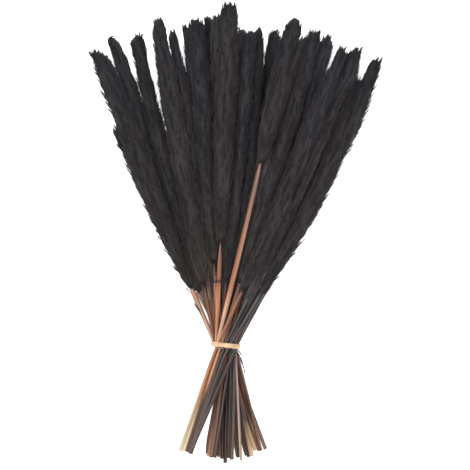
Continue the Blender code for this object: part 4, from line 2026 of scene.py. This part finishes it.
# Leaves 2, 6 and 8 fill narrow gaps between canes at the neck: they are sheaths, and they also stand in for
# the warm shade in those gaps, which is painted shade in their dyes.
LEAVES = (
    LeafLook(1, 6, CaneDye.SEPIA, "brown", (6.0, 72.0), (1.0, 7.0), (2.4, 6.0), 1.5),
    LeafLook(2, 9, CaneDye.RUST, "amber", (4.0, 72.0), (-1.6, -3.6), (3.0, 4.4), 1.4),
    LeafLook(3, 26, CaneDye.SLATE, "black", (4.0, 62.0), (1.5, 6.0), (3.0, 5.4), 1.8),
    LeafLook(4, 28, CaneDye.SLATE, "black", (4.0, 60.0), (-1.5, -6.0), (3.0, 5.6), 2.2),
    LeafLook(5, 28, CaneDye.SEPIA, "black", (3.0, 58.0), (2.6, 3.0), (3.4, 4.6), 1.2),
    LeafLook(6, 24, CaneDye.ROSE, "amber", (4.0, 56.0), (-1.6, -3.0), (2.8, 4.0), 1.0),
    LeafLook(7, 2, CaneDye.CORK, "brown", (2.0, 64.0), (1.6, 2.2), (2.8, 2.6), 0.8),
    LeafLook(8, 12, CaneDye.ROSE, "amber", (4.0, 62.0), (-1.4, -2.4), (2.4, 3.6), 0.8),
    LeafLook(9, 6, CaneDye.RUST, "amber", (3.0, 44.0), (2.0, 2.6), (3.2, 2.6), 0.8),
    LeafLook(10, 1, CaneDye.BARK, "brown", (-18.0, -84.0), (-2.2, -1.8), (4.0, 3.4), 0.6),
    LeafLook(11, 5, CaneDye.BARK, "brown", (-6.0, -56.0), (-1.6, -1.6), (3.0, 3.6), 0.8),
    LeafLook(12, 14, CaneDye.BARK, "brown", (-30.0, -88.0), (-1.6, -2.0), (3.0, 3.2), 1.0),
    LeafLook(13, 28, CaneDye.SEPIA, "black", (-18.0, -72.0), (1.8, 2.6), (2.8, 3.4), 1.0),
    LeafLook(14, 8, CaneDye.CORK, "brown", (-40.0, -76.0), (1.8, 2.2), (2.6, 2.8), 0.8),
    LeafLook(15, 27, CaneDye.SLATE, "black", (0.0, 34.0), (-1.8, -1.8), (2.4, 2.6), 0.8),
    LeafLook(16, 6, CaneDye.OLIVE, "brown", (26.0, 66.0), (2.2, 3.2), (3.2, 3.4), 1.6),
    LeafLook(17, 21, CaneDye.BARK, "brown", (-46.0, -106.0), (-0.8, -2.8), (2.0, 4.2), 0.5),
)
WISPS = Fibres(
    "loose_fibres",
    (
        ((10.4, -4.5), (14.0, -11.2), (17.6, -19.0)),
        ((10.6, -7.4), (14.4, -14.2), (17.2, -20.5), (18.6, -25.4), (18.9, -31.0)),
        ((11.2, -3.6), (14.2, -7.6), (16.4, -11.4)),
    ),
    0.034, 0.00048, 0.70,
)
SHRED = Fibres(
    "torn_sheath",
    (
        ((-24.2, 30.5), (-28.6, 36.5), (-31.8, 42.5)),
        ((-24.6, 32.0), (-28.2, 37.0), (-30.0, 41.5)),
        ((-25.0, 33.4), (-27.4, 37.5), (-28.2, 40.4)),
    ),
    0.026, 0.00044, 1.00,
)


def report(piece: bpy.types.Object) -> None:
    """Logs a finished piece and how many faces it has."""
    LOG.info("%s: %d faces", piece.name, len(piece.data.polygons))


def main() -> None:
    """Builds the bunch and its studio."""
    logging.basicConfig(level=logging.INFO)
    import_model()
    bpy.ops.object.select_all(action="DESELECT")
    Studio().build()
    hairs = {hair: finish.material(f"Hair {hair.name.lower()}") for hair, finish in HAIR_FINISHES.items()}
    for look in PLUMES:
        report(Plume(look).build(hairs[look.dye]))
    skins = {cane: finish.material(f"Cane {cane.value}") for cane, finish in CANE_FINISHES.items()}
    pith = PithFinish().material("Cane pith")
    canes: dict[int, Cane] = {}
    for look in CANES:
        cane = Cane(look)
        canes[look.number] = cane
        report(cane.build(skins[look.dye], pith))
    # Leaves are paler than their canes' dyes, partly as painted light that lifts the shade of the gaps they
    # lie in.
    blades = {
        cane: CANE_FINISHES[cane].on_leaf(LEAF_PALER_AND_LIFT).material(f"Leaf {cane.value}")
        for cane in sorted({look.dye for look in LEAVES}, key=lambda dyed: dyed.value)
    }
    for look in LEAVES:
        report(Leaf(look).build(canes[look.cane], blades[look.dye]))
    for fibres in (WISPS, SHRED):
        report(fibres.build(hairs[fibres.dye]))
    report(Strap().build(ElasticFinish().material("Elastic peach")))


if __name__ == "__main__":
    main()
